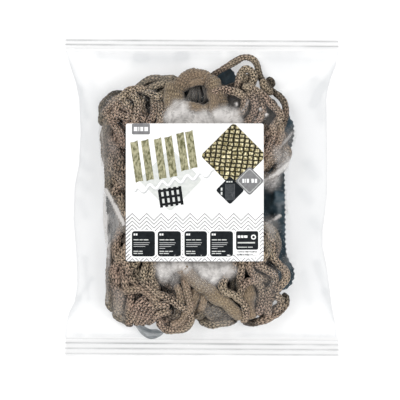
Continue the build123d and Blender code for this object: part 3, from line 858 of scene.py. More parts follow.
lines, radii, tones, shown = build_net()
draw_rope = cord_mesh("draw_rope_braid", [(draw_rope_line, dict(radius=ROPE_RADIUS, seed=1))], [knit])
mouth_cord = cord_mesh("mouth_cord_braid", [(mouth_line, dict(
    radius=6.9, seed=2, wales=19, around=76, step=0.6, relief=0.75, tone=-0.6, lump=0.17,
    pleat=0.38))], [heavy_knit])
for piece, node in ((draw_rope, "draw_rope"), (mouth_cord, "mouth_cord")):
    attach(piece, "root")
    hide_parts(node)
runs = [(smooth_line(q, 0.7), dict(radius=r, seed=k, tone=t, wales=WALES if r < 5 else 14,
                                   around=28 if r < 5 else 70, relief=min(0.25 * r, 0.85),
                                   lump=0.07 if r < 5 else 0.11))
        for k, (q, r, t) in enumerate(zip(lines, radii, tones))]
ROPE_TAIL = [(-4, 97, 9.0), (3, 103.5, 8.5), (10, 110.5, 9.0), (16.5, 115.5, 10.0),
             (19.5, 117.2, 9.3)]    # where the draw rope comes from under the mouth cord
visible, ring, heavy = runs[2:2 + len(RUNS)], runs[shown - 1:shown], runs[2 + len(RUNS):shown - 1]
visible.append((smooth_line(ROPE_TAIL, 0.7), dict(radius=ROPE_RADIUS, seed=1)))
half = len(visible) // 2
net_pieces = [cord_mesh("net_runs_left", visible[:half], [knit]),
              cord_mesh("net_runs_right", visible[half:], [knit]),
              cord_mesh("net_border_cord", heavy, [heavy_knit])]
base_cord = cord_mesh("base_cord_braid", ring, [knit])
deep = [(line, dict(kw, step=1.7, around=10, relief=0.4)) for line, kw in runs[shown:]]
if deep:
    net_pieces.append(cord_mesh("net_folds_inside_a", deep[:len(deep) // 2], [knit]))
    net_pieces.append(cord_mesh("net_folds_inside_b", deep[len(deep) // 2:], [knit]))
for piece in net_pieces:
    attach(piece, "root")
    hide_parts("net_mesh")
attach(base_cord, "root")
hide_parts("base_cord")


def knot_line():
    """A cord doubled on itself: the rounded bight where the rope's loose end is tucked."""
    t = np.linspace(0, 1, 9)
    return np.column_stack([60.5 + 5.0 * t, 103.0 + 5.5 * np.sin(t * math.pi) ** 0.8 - 2.5 * t,
                            6.0 - 0.6 * t])


knot = cord_mesh("draw_rope_bight", [(smooth_line(knot_line(), 0.7), dict(radius=ROPE_RADIUS, seed=5))],
                 [knit])
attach(knot, "root")
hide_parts("draw_rope_knot")


# ---- films, sheet and label: heights over the pack's face ----
OUTER = np.array([   # Y, height of the outer bag's front over its back wall
    (-128, 1.2), (-124, 14), (-112.5, 27), (-88.9, 41), (-52, 51.5), (3, 56), (58, 51),
    (94.7, 40.3), (118.3, 27), (130, 14), (134, 1.2)], float)
LEFT_EDGE = np.array([(-128, -125), (-118, -124), (-105, -121), (-95, -116), (-80, -113.5),
                      (-50, -114.5), (-20, -117), (10, -116), (30, -112), (60, -110.5),
                      (90, -112), (105, -115), (120, -120), (134, -124)], float)
RIGHT_EDGE = np.array([(-130, 124), (-120, 123.5), (-105, 120.5), (-97, 119), (-80, 117),
                       (-65, 115), (-45, 111), (-30, 111), (0, 115), (30, 115.5), (60, 115),
                       (90, 114.5), (100, 116), (110, 119), (120, 123), (134, 126)], float)
# folds of the outer film: from, to, half width, height, how much it dims what is behind, as painted shade
FOLDS = [
    ((-92, 129), (-52, 127), 4.5, 2.2, .55), ((-58, 127.5), (-16, 128), 5, 2.5, .95),
    ((-20, 130), (14, 127), 4, 1.6, .5), ((60, 128), (112, 125), 4.5, 2.0, .5),
    ((-121, 121), (-113, 98), 4.6, 2.0, .95), ((-113, 98), (-105, 74), 4.6, 1.8, .8),
    ((-109, 66), (-106, 44), 4.0, .8, .4), ((-110, 34), (-104, 26), 5.5, 1.4, .6),
    ((-109, 15), (-105, 8), 5.5, 1.2, .5), ((-110, -4), (-106, -16), 5.5, 1.2, .5),
    ((-106, -56), (-103, -92), 3.4, 1.2, .55), ((-121, -107), (-112, -92), 3.5, 1.8, .75),
    ((-112, -92), (-100, -74), 3.5, 1.5, .6), ((-100, 108), (-94, 86), 5, 1.0, .35),
    ((123, 121), (112, 102), 3.2, 1.8, .85), ((112, 102), (101, 84), 3.2, 1.5, .6),
    ((104, 106), (110, 72), 5.5, 1.0, .5), ((97, 30), (103, 21), 5.5, 1.2, .5),
    ((92, 4), (98, -3), 5.5, 1.2, .45), ((102, -22), (107, -28), 5.5, 1.2, .5),
    ((66, 121), (100, 116), 9.0, .2, .3), ((-62, 121), (-22, 122.5), 4.0, .3, .3),
    ((98, 92), (96, -70), 11.0, .2, .3), ((-99, 60), (-98, -80), 9.0, .2, .15),
    ((105, -60), (113, -86), 3.4, 1.5, .65), ((113, -86), (121, -111), 3.4, 1.8, .8),
    ((92, -70), (99, -96), 4.0, .9, .35), ((-118, -125), (-40, -126), 3.6, 1.0, .55),
    ((-40, -126), (40, -125), 3.2, .8, .1), ((40, -125), (118, -127), 3.6, 1.0, .55),
    ((74, 96), (98, 112), 2.4, .6, -.3), ((98, 112), (124, 127), 2.4, .6, -.3),
]


def outer_height(x, y):
    h = np.interp(y, OUTER[:, 0], OUTER[:, 1])
    a = np.where(x < 0, -np.interp(y, LEFT_EDGE[:, 0], LEFT_EDGE[:, 1]),
                 np.interp(y, RIGHT_EDGE[:, 0], RIGHT_EDGE[:, 1]))
    return 0.8 + h * np.sqrt(np.clip(1 - (x / a) ** 2, 0, 1))


def folds_at(x, y):
    """Extra height and painted shade (dimming) of the outer film at points on the pack's face."""
    lift, shade = np.zeros_like(x), np.zeros_like(x)
    bend = 2.2 * fbm(x / 26, y / 26, 5, 3)
    for (x1, y1), (x2, y2), width, height, dim in FOLDS:
        dx, dy = x2 - x1, y2 - y1
        t = np.clip(((x - x1) * dx + (y - y1) * dy) / (dx * dx + dy * dy), 0, 1)
        d = np.hypot(x - x1 - t * dx, y - y1 - t * dy) + bend
        near = np.exp(-(d / width) ** 2)
        lift += height * near
        shade += dim * near
    clear = 1 - np.exp(-(np.maximum(np.abs(x + 6) - 60, np.abs(y - 4.6) - 60).clip(0) / 9) ** 2)
    fine = creases(x / 17, y / 24, 31) * 0.6 + creases(x / 9, y / 13, 37) * 0.25
    # the dimming is painted shade along the folds and fine creases; a base dimming of 0.40 fades out
    # towards the top and the bottom
    dimming = (0.62 * shade + 0.05 * fine + 0.40 - 0.24 * np.clip((y - 96) / 16, 0, 1)
               - 0.30 * np.clip((-92 - y) / 20, 0, 1)) * clear
    return (lift + fine * 0.6) * clear, dimming


def film_grid(rows, cols, low=-128.0, high=134.0):
    y = np.linspace(low, high, rows)[:, None] + np.zeros((1, cols))
    s = np.sin(np.linspace(-1, 1, cols) * math.pi / 2)[None, :]
    left = np.interp(y, LEFT_EDGE[:, 0], LEFT_EDGE[:, 1])
    right = np.interp(y, RIGHT_EDGE[:, 0], RIGHT_EDGE[:, 1])
    x = (left + right) / 2 + s * (right - left) / 2
    return x, y


def build_outer_film():
    x, y = film_grid(190, 170)
    lift, shade = folds_at(x, y)
    half = np.where(x < 0, -np.interp(y, LEFT_EDGE[:, 0], LEFT_EDGE[:, 1]),
                    np.interp(y, RIGHT_EDGE[:, 0], RIGHT_EDGE[:, 1]))
    edge = np.clip(1 - np.abs(x) / half, 0, 1)
    seal = np.minimum(134 - y, y + 128)
    z = outer_height(x, y) + lift * np.clip(edge * 14, 0, 1) * np.clip(seal / 4, 0, 1)
    gather = np.exp(-seal / 11) * (1.5 * fbm(x / 5.5, y / 60, 3, 3) + 0.9)
    z = z + gather * np.clip(seal / 3, 0, 1)
    # painted shade where the film gathers at the seals, and a thin painted dark rim along its edge
    shade = shade + 0.35 * np.exp(-seal / 7) * (0.5 + fbm(x / 7, y / 30, 8, 3))
    shade = shade + 0.5 * np.exp(-(edge / 0.012) ** 2)
    front = raw_mesh("outer_film_front", np.stack([x, y, z], -1).reshape(-1, 3),
                     grid_quads(*x.shape), attrs={"shade": shade.clip(0, 1), "haze": 0 * x},
                     mats=[outer_mat])
    x, y = film_grid(90, 130)
    edge = np.clip(1 - np.abs(x) / 118, 0, 1)
    z = 0.15 + 0.5 * creases(x / 30, y / 40, 3) * np.clip(edge * 6, 0, 1) + 0.5 * (edge <= 0)
    lo, hi = (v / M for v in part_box("outer_bag_back_seam"))
    z = z + 0.45 * ((x > lo.x) & (x < hi.x))
    back = raw_mesh("outer_film_back", np.stack([x, y, z], -1).reshape(-1, 3),
                    grid_quads(*x.shape), attrs={"shade": 0 * x, "haze": 0 * x},
                    mats=[back_mat])
    return front, back


def build_seal(name, low, high, lines):
    """An end seal: two welded films with pressed crimp lines, slightly wavy."""
    rows = int((high - low) / 0.22)
    y = np.linspace(low, high, rows)[:, None] + np.zeros((1, 160))
    x = np.linspace(-124.5, 125.5, 160)[None, :] + 0 * y
    x = x + 0.5 * np.sign(x) * fbm(y / 6, 0 * y, 3, 2)
    # shade is painted: a light grey over the whole seal and a darker grey along its crimp lines
    crimp, shade = np.zeros_like(x), (0.11 if low > 0 else 0.18) + 0.05 * fbm(x / 40, y / 2, 6, 2)
    for middle, slope, width, dim in lines:
        d = y - middle - slope * x
        near = np.exp(-(d / width) ** 2)
        crimp += 0.55 * near
        broken = 0.75 + 0.5 * fbm(x / 22, 0 * y + middle, 4, 3)
        shade += dim * near * broken
    z = 0.7 + crimp + 0.5 * (1 + fbm(x / 30, y / 30, 12, 2))
    return raw_mesh(name, np.stack([x, y, z], -1).reshape(-1, 3), grid_quads(*x.shape),
                    attrs={"shade": shade.clip(0, 1), "haze": 0 * x}, mats=[seal_mat])


front, back = build_outer_film()
top_seal = build_seal("seal_top", 134.0, 144.9, [
    (143.3, -.006, .75, .85), (139.0, -.008, .75, .8), (136.2, -.004, .6, .2)])
bottom_seal = build_seal("seal_bottom", -144.9, -128.0, [
    (-134.0, -.008, .8, .85), (-138.8, -.006, .8, .75), (-143.6, -.006, .8, .6),
    (-130.0, -.008, .6, .3)])
for piece, nodes in ((front, ["outer_bag_front_film"]), (top_seal, ["outer_bag_top_seal"]),
                     (back, ["outer_bag_back_film", "outer_bag_back_seam"]),
                     (bottom_seal, ["outer_bag_bottom_seal"])):
    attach(piece, "root")
    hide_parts(*nodes)

# ---- dark backing sheet with pinked sides ----
SHEET_RIGHT = np.array([(-104, 56), (-92, 60), (-87, 66), (-84, 78), (-80, 83), (-72, 86),
                        (-64, 85), (-58, 81), (-52, 78.5), (-40, 77.5), (0, 77), (28, 76.5),
                        (34, 78.5), (40, 81), (50, 84), (58, 85.5), (68, 85), (76, 80),
                        (82, 66), (88, 56), (96, 46), (104, 34), (112, 32), (118, 28)], float)
SHEET_LEFT = np.array([(-104, -70), (-95, -76), (-66, -79), (-50, -84), (-36, -86), (3, -87),
                       (8, -80), (20, -77), (70, -76), (84, -66), (94, -40), (101, -20), (112, 10),
                       (118, 20)], float)


def build_sheet():
    y = np.linspace(-104, 118, 350)[:, None] + np.zeros((1, 90))
    teeth = 1.3 * np.abs(2 * ((y / 4.5) % 1) - 1)
    right = np.interp(y, SHEET_RIGHT[:, 0], SHEET_RIGHT[:, 1]) - teeth
    left = np.interp(y, SHEET_LEFT[:, 0], SHEET_LEFT[:, 1]) + 1.2 * fbm(y / 3, 0 * y, 23, 3)
    x = left + (right - left) * np.linspace(0, 1, 90)[None, :]
    rise = np.clip((x - 52) / 16, 0, 1) * np.clip((50 - np.abs(y - 5)) / 20, 0, 1)
    lump = 1 + 0.9 * fbm(x / 17, y / 24, 41, 3) + 0.7 * creases(x / 19, y / 15, 43)
    z = 1.3 + rise * 7 * lump + 0.5 * np.clip((x - 60) / 10, 0, 1) * creases(x / 6, y / 7, 45)
    return raw_mesh("backing_sheet_crumpled", np.stack([x, y, z], -1).reshape(-1, 3),
                    grid_quads(*x.shape), mats=[sheet_mat])


backing = build_sheet()
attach(backing, "root")
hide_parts("backing_sheet")

# ---- inner film: drapes over the cords as they lie ----
# areas of milky haze and painted glare: strength and outline
GLARE_HAZE_AREAS = [
    (1.0, [(-31, 58), (-32, 79), (-27, 88), (-17, 86), (-12, 80), (-13, 58)]),
    (1.0, [(-16, 58), (-16, 81), (-8, 79), (0, 80), (8, 78), (14, 80), (14, 58)]),
    (1.1, [(11, 58), (11, 80), (19, 86), (26, 82), (34, 80), (38, 73), (40, 58)]),
    (.1, [(-15, 86), (-15, 99), (-4, 105), (6, 100), (7, 86)]),
    (.3, [(31, 68), (36, 76), (40, 84), (39, 91), (43, 90), (45, 80), (42, 70)]),
    (.28, [(16, 100), (20, 110), (31, 117), (33, 111), (31, 102)]),
    (.95, [(-43, -56), (-43, -67), (-39, -73), (-34, -77), (-28, -74), (-24, -67), (-14, -70),
           (-8, -66), (-6, -56)]),
    (.38, [(-14, -56), (-18, -68), (-6, -77), (6, -86), (12, -84), (-2, -66), (-6, -56)]),
    (1.0, [(-12, -56), (-4, -66), (6, -73), (13, -80), (16, -76), (20, -72), (28, -73),
           (29, -64), (29, -56)]),
    (.5, [(-32, -72), (-26, -67), (-18, -69), (-17, -75), (-21, -80), (-28, -79)]),
    (.15, [(46, -60), (46, -110), (68, -107), (76, -92), (72, -62)]),
    (.15, [(43, 62), (42, 96), (56, 93), (71, 78), (70, 62)]),
    (.2, [(4, -98), (12, -97), (24, -104), (33, -111), (24, -117), (8, -116), (2, -107)]),
    (.5, [(-86, 4), (-80, -2), (-70, -24), (-75, -38), (-85, -38), (-86, -8)]),
    (.28, [(-94, 40), (-93, 66), (-82, 66), (-77, 40), (-80, 20), (-90, 16)]),
    (.2, [(-92, 76), (-90, 92), (-76, 95), (-72, 88), (-82, 84), (-86, 74)]),
    (.24, [(-56, 100), (-48, 110), (-26, 110), (-26, 102), (-40, 98)]),
    (.3, [(-84, -82), (-84, -104), (-77, -112), (-70, -107), (-66, -96), (-70, -86), (-78, -80)]),
    (.7, [(56, 8), (56, 16), (62, 22), (71, 22), (70, 12), (63, 7)]),
    (.45, [(64, 30), (66, 46), (76, 48), (83, 42), (80, 32), (72, 28)]),
    (.30, [(70, 8), (70, -10), (77, -12), (77, 8)]),
    (.40, [(55, -18), (60, -34), (70, -40), (69, -26), (62, -18)]),
    (.3, [(74, -50), (76, -64), (82, -64), (80, -50)]),
    (.25, [(74, 42), (72, 60), (84, 68), (88, 50)]),
    (.16, [(25, 79), (24, 92), (35, 93), (36, 80)]),
    (.14, [(56, 70), (57, 83), (66, 84), (67, 70)]),
]
# streaks: from, to, half width and amount of painted glare or glint in 'haze'; each also raises a pleat,
# and a negative amount gives only the pleat
STREAKS = [((30, 103.4), (31.2, 103), .4, 1.6), ((31.6, 85.4), (32, 84.4), .4, 1.5),
           ((53.5, 80.7), (54.2, 80), .4, 1.2), ((59, 75.8), (59.8, 75), .4, 1.5),
           ((-27, 84), (-21, 72), .5, .5), ((-18, 80), (-6, 74), .5, .45),
           ((-4, 72), (8, 76), .5, .5), ((12, 76), (26, 73), .5, .6),
           ((26, 73), (38, 79), .5, .6), ((38, 79), (43, 88), .5, .5),
           ((-10, 66), (2, 70), .8, -.45), ((8, 68), (18, 66), .8, -.4),
           ((20, 68), (30, 70), .7, -.45), ((-22, 66), (-16, 76), .8, -.4),
           ((-2, -62), (12, -66), .5, .5), ((12, -66), (24, -62), .5, .5),
           ((-40, -60), (-33, -72), .6, .5), ((2, -68), (10, -74), .7, -.4),
           ((16, -70), (26, -68), .7, -.45), ((-31, -62), (-25, -68), .7, -.4),
           ((19, 105), (31, 103.5), .5, .45), ((21, 109), (30, 113), .4, .35),
           ((-87, 7), (-78, -9), .5, 1.9), ((-78, -9), (-70.5, -24), .6, 2.0),
           ((57, 15), (69, 22), 1.3, .9), ((69, 22), (81, 32), 1.7, 1.3),
           ((58, -24), (68, -19), .9, .6), ((68, -19), (77, -13), 1.0, 1.1),
           ((-91, 60), (-89.5, 30), .8, .6), ((72, 46), (84, 60), .9, .7),
           ((-88, 2), (-89, -30), 1.0, .9), ((-86, -16), (-87, -40), .8, .9),
           ((-84, -34), (-85, -62), .9, .8), ((-86, -62), (-86, -96), .7, .5),
           ((72, 4), (75, -8), 1.4, .7), ((70, 28), (83, 38), .8, .7)]


INNER_EDGES = np.array([   # Y, left and right edge of the inner bag as it is tucked in
    (-125, -30, 16), (-118, -40, 58), (-112, -70, 66), (-106, -83, 74), (-95, -87, 79),
    (-80, -88, 85), (-64, -87, 88), (-50, -87, 84), (-20, -90, 80), (0, -90, 79),
    (30, -92, 80), (45, -93, 85), (60, -94, 88), (80, -92, 84), (90, -86, 80),
    (98, -78, 74)], float)


def soft_mask(x, y, outline, passes=4):
    """1 inside an outline and 0 outside, with a feathered, slightly ragged edge."""
    wx, wy = x + 6.0 * fbm(x / 11, y / 11, 61, 4), y + 6.0 * fbm(x / 11, y / 11, 65, 4)
    mask = inside(wx, wy, np.array(outline, float)).astype(float)
    for _ in range(passes):
        mask[1:-1] = (mask[:-2] + 2 * mask[1:-1] + mask[2:]) / 4
        mask[:, 1:-1] = (mask[:, :-2] + 2 * mask[:, 1:-1] + mask[:, 2:]) / 4
    return mask


def build_inner_film():
    xs, ys = np.arange(-96, 92.1, 1.7), np.arange(-125, 98.1, 1.7)
    x, y = np.meshgrid(xs, ys)
    base = 1.9 + 0 * x
    for q, r in zip(lines, radii):
        for at in resample(np.asarray(q), 2.0):
            i, j = int((at[0] + 96) / 1.7), int((at[1] + 125) / 1.7)
            i0, i1, j0, j1 = max(i - 4, 0), i + 5, max(j - 4, 0), j + 5
            if i1 <= 0 or j1 <= 0 or i0 >= len(xs) or j0 >= len(ys):
                continue
            d2 = (x[j0:j1, i0:i1] - at[0]) ** 2 + (y[j0:j1, i0:i1] - at[1]) ** 2
            top = at[2] + np.sqrt(np.maximum((r + 0.9) ** 2 - d2, -4e6).clip(0))
            base[j0:j1, i0:i1] = np.where(d2 < (r + 0.9) ** 2,
                                          np.maximum(base[j0:j1, i0:i1], top),
                                          base[j0:j1, i0:i1])
    left = np.interp(y, INNER_EDGES[:, 0], INNER_EDGES[:, 1])
    right = np.interp(y, INNER_EDGES[:, 0], INNER_EDGES[:, 2])
    pinned = (x < left + 1) | (x > right - 1) | (y < -123)
    z = base.copy()
    for _ in range(90):
        mean = z.copy()
        mean[1:-1, 1:-1] = (z[:-2, 1:-1] + z[2:, 1:-1] + z[1:-1, :-2] + z[1:-1, 2:]) / 4
        mean[-1] = mean[-2]
        z = np.maximum(base, mean)
        z[pinned] = base[pinned]
    cols = len(xs)
    x = left[:, :1] + (right[:, :1] - left[:, :1]) * np.linspace(0, 1, cols)[None, :]
    at = (x - xs[0]) / 1.7
    k = np.clip(at.astype(int), 0, cols - 2)
    row = np.arange(len(ys))[:, None]
    z = z[row, k] * (1 - (at - k)) + z[row, k + 1] * (at - k)
    z = z + 0.5 * creases(x / 13, y / 15, 51) + 0.35 * creases(x / 6, y / 8, 53)
    z = np.minimum(z, outer_height(x, y) - 0.8)
    haze = np.zeros_like(x)
    for strength, outline in GLARE_HAZE_AREAS:
        haze = np.maximum(haze, strength * soft_mask(x, y, outline))
    for (x1, y1), (x2, y2), width, dim in STREAKS:
        dx, dy = x2 - x1, y2 - y1
        t = np.clip(((x - x1) * dx + (y - y1) * dy) / (dx * dx + dy * dy), 0, 1)
        d = np.hypot(x - x1 - t * dx, y - y1 - t * dy)
        haze = np.maximum(haze, dim * np.exp(-(d / (width + .8)) ** 2))
        z = z + 0.8 * np.exp(-(d / (width + 0.5)) ** 2)
    # painted shade in the film's creases, and a flat grey added above y 96.5
    shade = 0.05 * creases(x / 12, y / 12, 71) + 0.12 * (y > 96.5)
    return raw_mesh("inner_film_front", np.stack([x, y, z], -1).reshape(-1, 3),
                    grid_quads(*x.shape), attrs={"shade": shade, "haze": haze},
                    mats=[inner_mat])


def build_film_tail():
    """The inner bag's lower corner, folded double where it sticks out below the net."""
    u, v = np.meshgrid(np.linspace(0, 1, 40), np.linspace(0, 1, 24))
    upper = -116.5 - 7.5 * u ** 1.6 + 1.2 * np.sin(3 * math.pi * u)
    lower = -117.5 - 11.0 * np.sin(math.pi * np.clip(u, 0, 1)) ** 0.7 - 6.0 * u ** 3
    x = -60 + 25 * u + 0.8 * fbm(u * 5, v * 3, 91, 3)
    y = upper + (lower - upper) * v
    z = 2.2 + 2.4 * np.sin(math.pi * v) + 0.8 * creases(u * 2, v * 2, 93)
    # the shade here is painted: deep grey over the fold, darker at its lower edge, lighter on its creases
    # as painted highlights
    shade = 0.85 + 0.3 * fbm(u * 4, v * 3, 95, 3) + 0.3 * (v > 0.93) - 0.3 * creases(u, v, 97)
    return raw_mesh("inner_film_tail", np.stack([x, y, z], -1).reshape(-1, 3),
                    grid_quads(*x.shape), attrs={"shade": shade.clip(0, 1)}, mats=[tail_mat])


inner = build_inner_film()
tail = build_film_tail()
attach(tail, "root")
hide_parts("inner_bag_bottom_seal")
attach(inner, "root")
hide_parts("inner_bag_front_film", "inner_bag_bottom_seal")


def build_inner_back():
    y = np.linspace(-105, 90, 80)[:, None] + np.zeros((1, 64))
    x = np.linspace(-78, 72, 64)[None, :] + 0.6 * fbm(y / 20, 0 * y, 5, 2)
    z = 1.0 + 0.3 * creases(x / 20, y / 26, 81)
    return raw_mesh("inner_film_back", np.stack([x, y, z], -1).reshape(-1, 3),
                    grid_quads(*x.shape), attrs={"shade": 0 * x, "haze": 0 * x},
                    mats=[back_mat])


inner_back = build_inner_back()
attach(inner_back, "root")
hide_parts("inner_bag_back_film")


# ---- label: paper and generic printed shapes that follow the film's curve ----
LABEL = (-68.5, 56.5, -57.9, 67.1)


def rounded(x1, y1, x2, y2, r, steps=4):
    """Corner points of a rounded rectangle."""
    out = []
    for cx, cy, start in ((x2 - r, y2 - r, 0), (x1 + r, y2 - r, 90), (x1 + r, y1 + r, 180),
                          (x2 - r, y1 + r, 270)):
        for k in range(steps + 1):
            t = math.radians(start + 90 * k / steps)
            out.append((cx + r * math.cos(t), cy + r * math.sin(t)))
    return out


def turned(points, angle, about):
    c, s = math.cos(math.radians(angle)), math.sin(math.radians(angle))
    return [(about[0] + (x - about[0]) * c - (y - about[1]) * s,
             about[1] + (x - about[0]) * s + (y - about[1]) * c) for x, y in points]


def diamond(cx, cy, half, r=1.5):
    side = half / math.sqrt(2)
    return turned(rounded(cx - side, cy - side, cx + side, cy + side, r), 45, (cx, cy))


def stroke(points, width):
    """Quads of a ribbon along a line on the label."""
    p = np.array(points, float)
    t = np.gradient(p, axis=0)
    t /= np.linalg.norm(t, axis=1)[:, None]
    side = np.column_stack([-t[:, 1], t[:, 0]]) * width / 2
    a, b = p + side, p - side
    return [[tuple(a[k]), tuple(b[k]), tuple(b[k + 1]), tuple(a[k + 1])]
            for k in range(len(p) - 1)]


def clipped(points, x1, x2, y1, y2):
    """A polygon cut to a rectangle, or None if it is all outside."""
    for axis, limit, keep in ((0, x1, 1), (0, x2, -1), (1, y1, 1), (1, y2, -1)):
        out = []
        for a, b in zip(points, points[1:] + points[:1]):
            ia, ib = keep * (a[axis] - limit) >= 0, keep * (b[axis] - limit) >= 0
            if ia:
                out.append(a)
            if ia != ib:
                t = (limit - a[axis]) / (b[axis] - a[axis])
                out.append((a[0] + t * (b[0] - a[0]), a[1] + t * (b[1] - a[1])))
        points = out
        if len(points) < 3:
            return None
    return points


def stalk(x, y, length, lean, width):
    """One broad slanted hay stalk with ragged cut ends."""
    left = [(x - width / 2, y + length * k) for k in (0, .3, .6, .97)]
    right = [(x + width / 2, y + length * k) for k in (.02, .35, .65, 1)]
    low, high = (x, y + .9), (x + width * .1, y + length * .975)
    return turned([low] + left + [high] + right[::-1], lean, (x, y))


def label_shapes():
    """(ink, layer, polygon) of everything printed, as generic shapes."""
    out = []

    def add(which, layer, *polygons):
        out.extend((which, layer, [tuple(p) for p in q]) for q in polygons)

    def bars(which, layer, x, y, widths, height, gap=1.2, lean=0.0, about=None):
        for w in widths:
            box = [(x, y), (x + w, y), (x + w, y + height), (x, y + height)]
            add(which, layer, turned(box, lean, about or (x, y)))
            x += w + gap

    add("pale", 1, diamond(-28, 16, 29, 3))
    add("grey", 1, rounded(-63, 57.2, -46.6, 67.0, 1.2))
    bars("white", 2, -61.2, 60.2, (3.2, 0.9, 2.6), 3.8, 0.9)
    bars("white", 2, -51.6, 60.2, (3.2,), 3.8)
    for x, y, length in ((-56.0, 13.8, 38), (-46.2, 15.2, 38), (-34.6, 16.5, 38),
                         (-25.0, 18.2, 38), (-14.6, 24, 35.5), (-6.6, 26, 35)):
        add("hay", 2, stalk(x, y, length, 8, 6.9))
    wave = [(-61 + 72 * t, 6.0 + 17.5 * t + 2.4 * math.sin(t * 40))
            for t in np.linspace(0, 1, 130)]
    add("shadow", 4, *stroke([(x + .7, y - .8) for x, y in wave], 2.8))
    add("white", 5, *stroke(wave, 2.0))
    for k in range(5):
        x = -38.5 + 4.7 * k
        add("black", 3, turned([(x, -8), (x + 2.6, -8), (x + 2.6, 9), (x, 9)], 8, (-28, 1)))
    for k in range(3):
        y = -6.5 + 6.2 * k
        add("black", 3, turned([(-38.5, y), (-17.1, y), (-17.1, y + 2.2), (-38.5, y + 2.2)], 8,
                               (-28, 1)))
    add("picture", 2, clipped(diamond(29.3, 37.8, 30.1, 3), -80, 56.3, -60, 70))
    add("slate", 4, diamond(26.0, 6.5, 13.0, 2))
    add("grey", 5, diamond(43.7, 15, 13.3, 2))
    add("pale", 6, diamond(43.7, 15, 11.4, 1.8))
    add("grey", 7, diamond(43.7, 15, 10.8, 1.6))
    bars("white", 8, 37.2, 13.3, (1.8, 0.7, 1.8), 3.6, 0.8, 0)
    bars("white", 8, 45.4, 13.3, (2.1, 2.1), 3.6, 0.9, 0)
    add("dark_grey", 5, [(21.6, -2.5), (30.4, -2.5), (30.4, 12.4), (21.6, 12.4)])
    for k in range(8):
        add("slate", 6, [(22.2 + k, -2.5), (22.5 + k, -2.5), (22.5 + k, 12.4), (22.2 + k, 12.4)])
    bars("pale", 6, 22.6, 13.6, (2.0, 1.0, 1.4), 1.2, 0.6)
    bars("pale", 6, 17.6, 6.2, (1.5,), 2.6)
    bars("pale", 6, 17.6, 2.4, (1.5,), 2.6)
    for k in range(13):
        y = -17.7 - 3.42 * k
        zig = [(-69.2 + 6.57 * n, y + (3.2 if n % 2 else -3.2)) for n in range(21)]
        for q in stroke(zig, 0.8):
            q = clipped(q, LABEL[0] + .1, LABEL[1] - .1, LABEL[2] + .1, -10)
            if q:
                add("line", 1, q)
    for k, (x1, x2, low) in enumerate(((-63, -42, -53.5), (-39.5, -18.5, -53.5),
                                       (-15.3, 5.2, -53.5), (7.9, 28.7, -53.5),
                                       (31.4, 51.6, -47.4))):
        add("white", 2, rounded(x1 - 1.3, low - 1.3 - (6 if k == 4 else 0), x2 + 1.3, -29.2, 4))
        add("slate", 3, rounded(x1, low, x2, -30.5, 2.6 if k < 4 else 1.6))
        left = x1 + 1.6
        if k < 4:
            bars("white", 4, left, -34.4, (1.5, 1.5), 1.7, .5)
            bars("pale", 4, left, -38.8, (4.6, 3.0, 4.4), .85, .7)
            for n, w in enumerate((.86, .8, .62, .3)[:3 + k % 2]):
                bars("shadow", 4, left, -41.2 - 1.7 * n, ((x2 - x1 - 4) * w,), .42)
            bars("pale", 4, left, -49.2, (4.4, 3.0, 3.4)[:2 + k % 2], .8, .7)
            bars("pale", 4, left, -51.1, (3.2, 4.6), .75, .6)
        else:
            bars("white", 4, left, -36.6, (2.4, 2.2, 3.0), 2.2, .6)
            add("white", 4, rounded(45.0, -38.2, 49.6, -33.6, 2.2))
            add("slate", 5, rounded(46.1, -37.1, 48.5, -34.7, 1.1))
            bars("pale", 4, left, -41.6, (15.6,), 1.2)
            bars("pale", 4, left, -45.4, (8.4, 4.4), .7, .8)
    x = 33.0
    for k in range(17):
        w = (.45, .8, .5, .4, .7)[(k * 3) % 5]
        add("black", 3, [(x, -52.6), (x + w, -52.6), (x + w, -48.4), (x, -48.4)])
        x += w + (.5, .4, .6)[k % 3]
    return [s for s in out if s[2]]


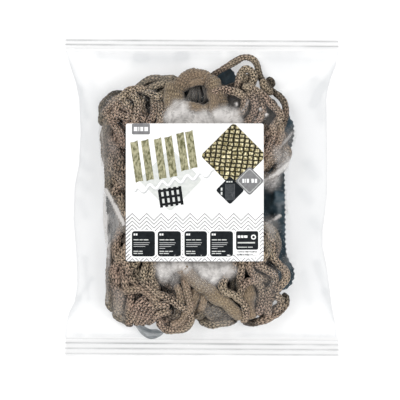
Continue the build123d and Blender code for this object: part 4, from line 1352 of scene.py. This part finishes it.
def build_label():
    inks = {
        "paper": ink("label_paper", (0.86, 0.86, 0.855), (0.90, 0.90, 0.895), 140),
        "white": ink("print_white", (0.87, 0.87, 0.865), (0.90, 0.90, 0.90), 500),
        "pale": ink("print_pale_grey", (0.58, 0.60, 0.58), (0.66, 0.67, 0.65), 400),
        "shadow": ink("print_shadow_grey", (0.52, 0.53, 0.53), (0.60, 0.61, 0.61), 400),
        "grey": ink("print_grey", (0.17, 0.17, 0.175), (0.22, 0.22, 0.225), 400),
        "dark_grey": ink("print_dark_grey", (0.06, 0.064, 0.07), (0.09, 0.095, 0.1), 400),
        "slate": ink("print_slate", (0.006, 0.008, 0.010), (0.012, 0.015, 0.018), 300),
        "black": ink("print_black", (0.006, 0.007, 0.008), (0.012, 0.013, 0.015), 300),
        "line": ink("print_line_grey", (0.11, 0.112, 0.12), (0.18, 0.182, 0.19), 400),
        "hay": ink("print_hay", (0.10, 0.10, 0.045), (0.42, 0.40, 0.26), 620,
                   (1.0, 0.45, 1.0, 0.15), 0.42, 0.36, 0.64),
        "picture": picture_material(),
    }
    names = list(inks)
    x1, x2, y1, y2 = LABEL
    shapes = [("paper", 0, rounded(x1, y1, x2, y2, 1.6))] + label_shapes()
    bm = bmesh.new()
    for which, layer, polygon in shapes:
        part = bmesh.new()
        face = part.faces.new([part.verts.new((x, y, 0)) for x, y in polygon])
        wide = max(p[0] for p in polygon) - min(p[0] for p in polygon)
        tall = max(p[1] for p in polygon) - min(p[1] for p in polygon)
        bmesh.ops.triangulate(part, faces=[face])
        for axis, size, step in ((0, wide, 4.0), (1, tall, 6.0)):
            if size < step:
                continue
            low = min(p[axis] for p in polygon)
            for k in range(math.ceil(low / step), math.ceil((low + size) / step)):
                co, no = [0, 0, 0], [0, 0, 0]
                co[axis], no[axis] = k * step, 1
                bmesh.ops.bisect_plane(part, geom=part.verts[:] + part.edges[:] + part.faces[:],
                                       plane_co=co, plane_no=no, dist=1e-4)
        made = {}
        for v in part.verts:
            z = float(outer_height(np.array(v.co.x), np.array(v.co.y))) + 0.45 + 0.035 * layer
            made[v] = bm.verts.new((v.co.x * M, v.co.y * M, z * M))
        for f in part.faces:
            new = bm.faces.new([made[v] for v in f.verts])
            new.material_index = names.index(which)
            if new.normal.z < 0 or f.normal.z < 0:
                new.normal_flip()
            new.smooth = True
        part.free()
    me = bpy.data.meshes.new("label_print")
    bm.to_mesh(me)
    bm.free()
    label = add_object("label_print", me, list(inks.values()))
    return label


label = build_label()
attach(label, "root")
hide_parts("front_label")


# ---- floor and soft studio light ----
def build_studio():
    mat, nodes, links = material("studio_floor")
    bsdf = nodes.new("ShaderNodeBsdfPrincipled")
    bsdf.inputs["Base Color"].default_value = (0.52, 0.52, 0.52, 1)
    bsdf.inputs["Roughness"].default_value = 1.0
    bsdf.inputs["Specular IOR Level"].default_value = 0.0
    bsdf.inputs["Emission Color"].default_value = (1, 1, 1, 1)
    bsdf.inputs["Emission Strength"].default_value = 0.5
    finish_material(nodes, links, bsdf.outputs[0])
    me = bpy.data.meshes.new("studio_floor")
    me.from_pydata([(-6, -6, 0), (6, -6, 0), (6, 6, 0), (-6, 6, 0)], [], [(0, 1, 2, 3)])
    add_object("studio_floor", me, [mat])
    for name, at, size, power in (("key", (-0.75, 0.65, 1.25), 0.9, 15.2),
                                  ("fill", (0.95, -0.15, 1.15), 0.9, 12.5),
                                  ("low", (-0.1, -1.1, 1.0), 0.8, 6.0)):
        lamp = bpy.data.objects.new(name, bpy.data.lights.new(name, "AREA"))
        lamp.data.size, lamp.data.energy = size, power
        lamp.location = at
        lamp.rotation_euler = (-Vector(at)).to_track_quat("-Z", "Y").to_euler()
        bpy.context.scene.collection.objects.link(lamp)
    world = bpy.data.worlds.new("studio")
    world.use_nodes = True
    world.node_tree.nodes["Background"].inputs[0].default_value = (1, 1, 1, 1)
    world.node_tree.nodes["Background"].inputs[1].default_value = 0.34
    bpy.context.scene.world = world
    bpy.context.scene.view_settings.view_transform = "Standard"


build_studio()
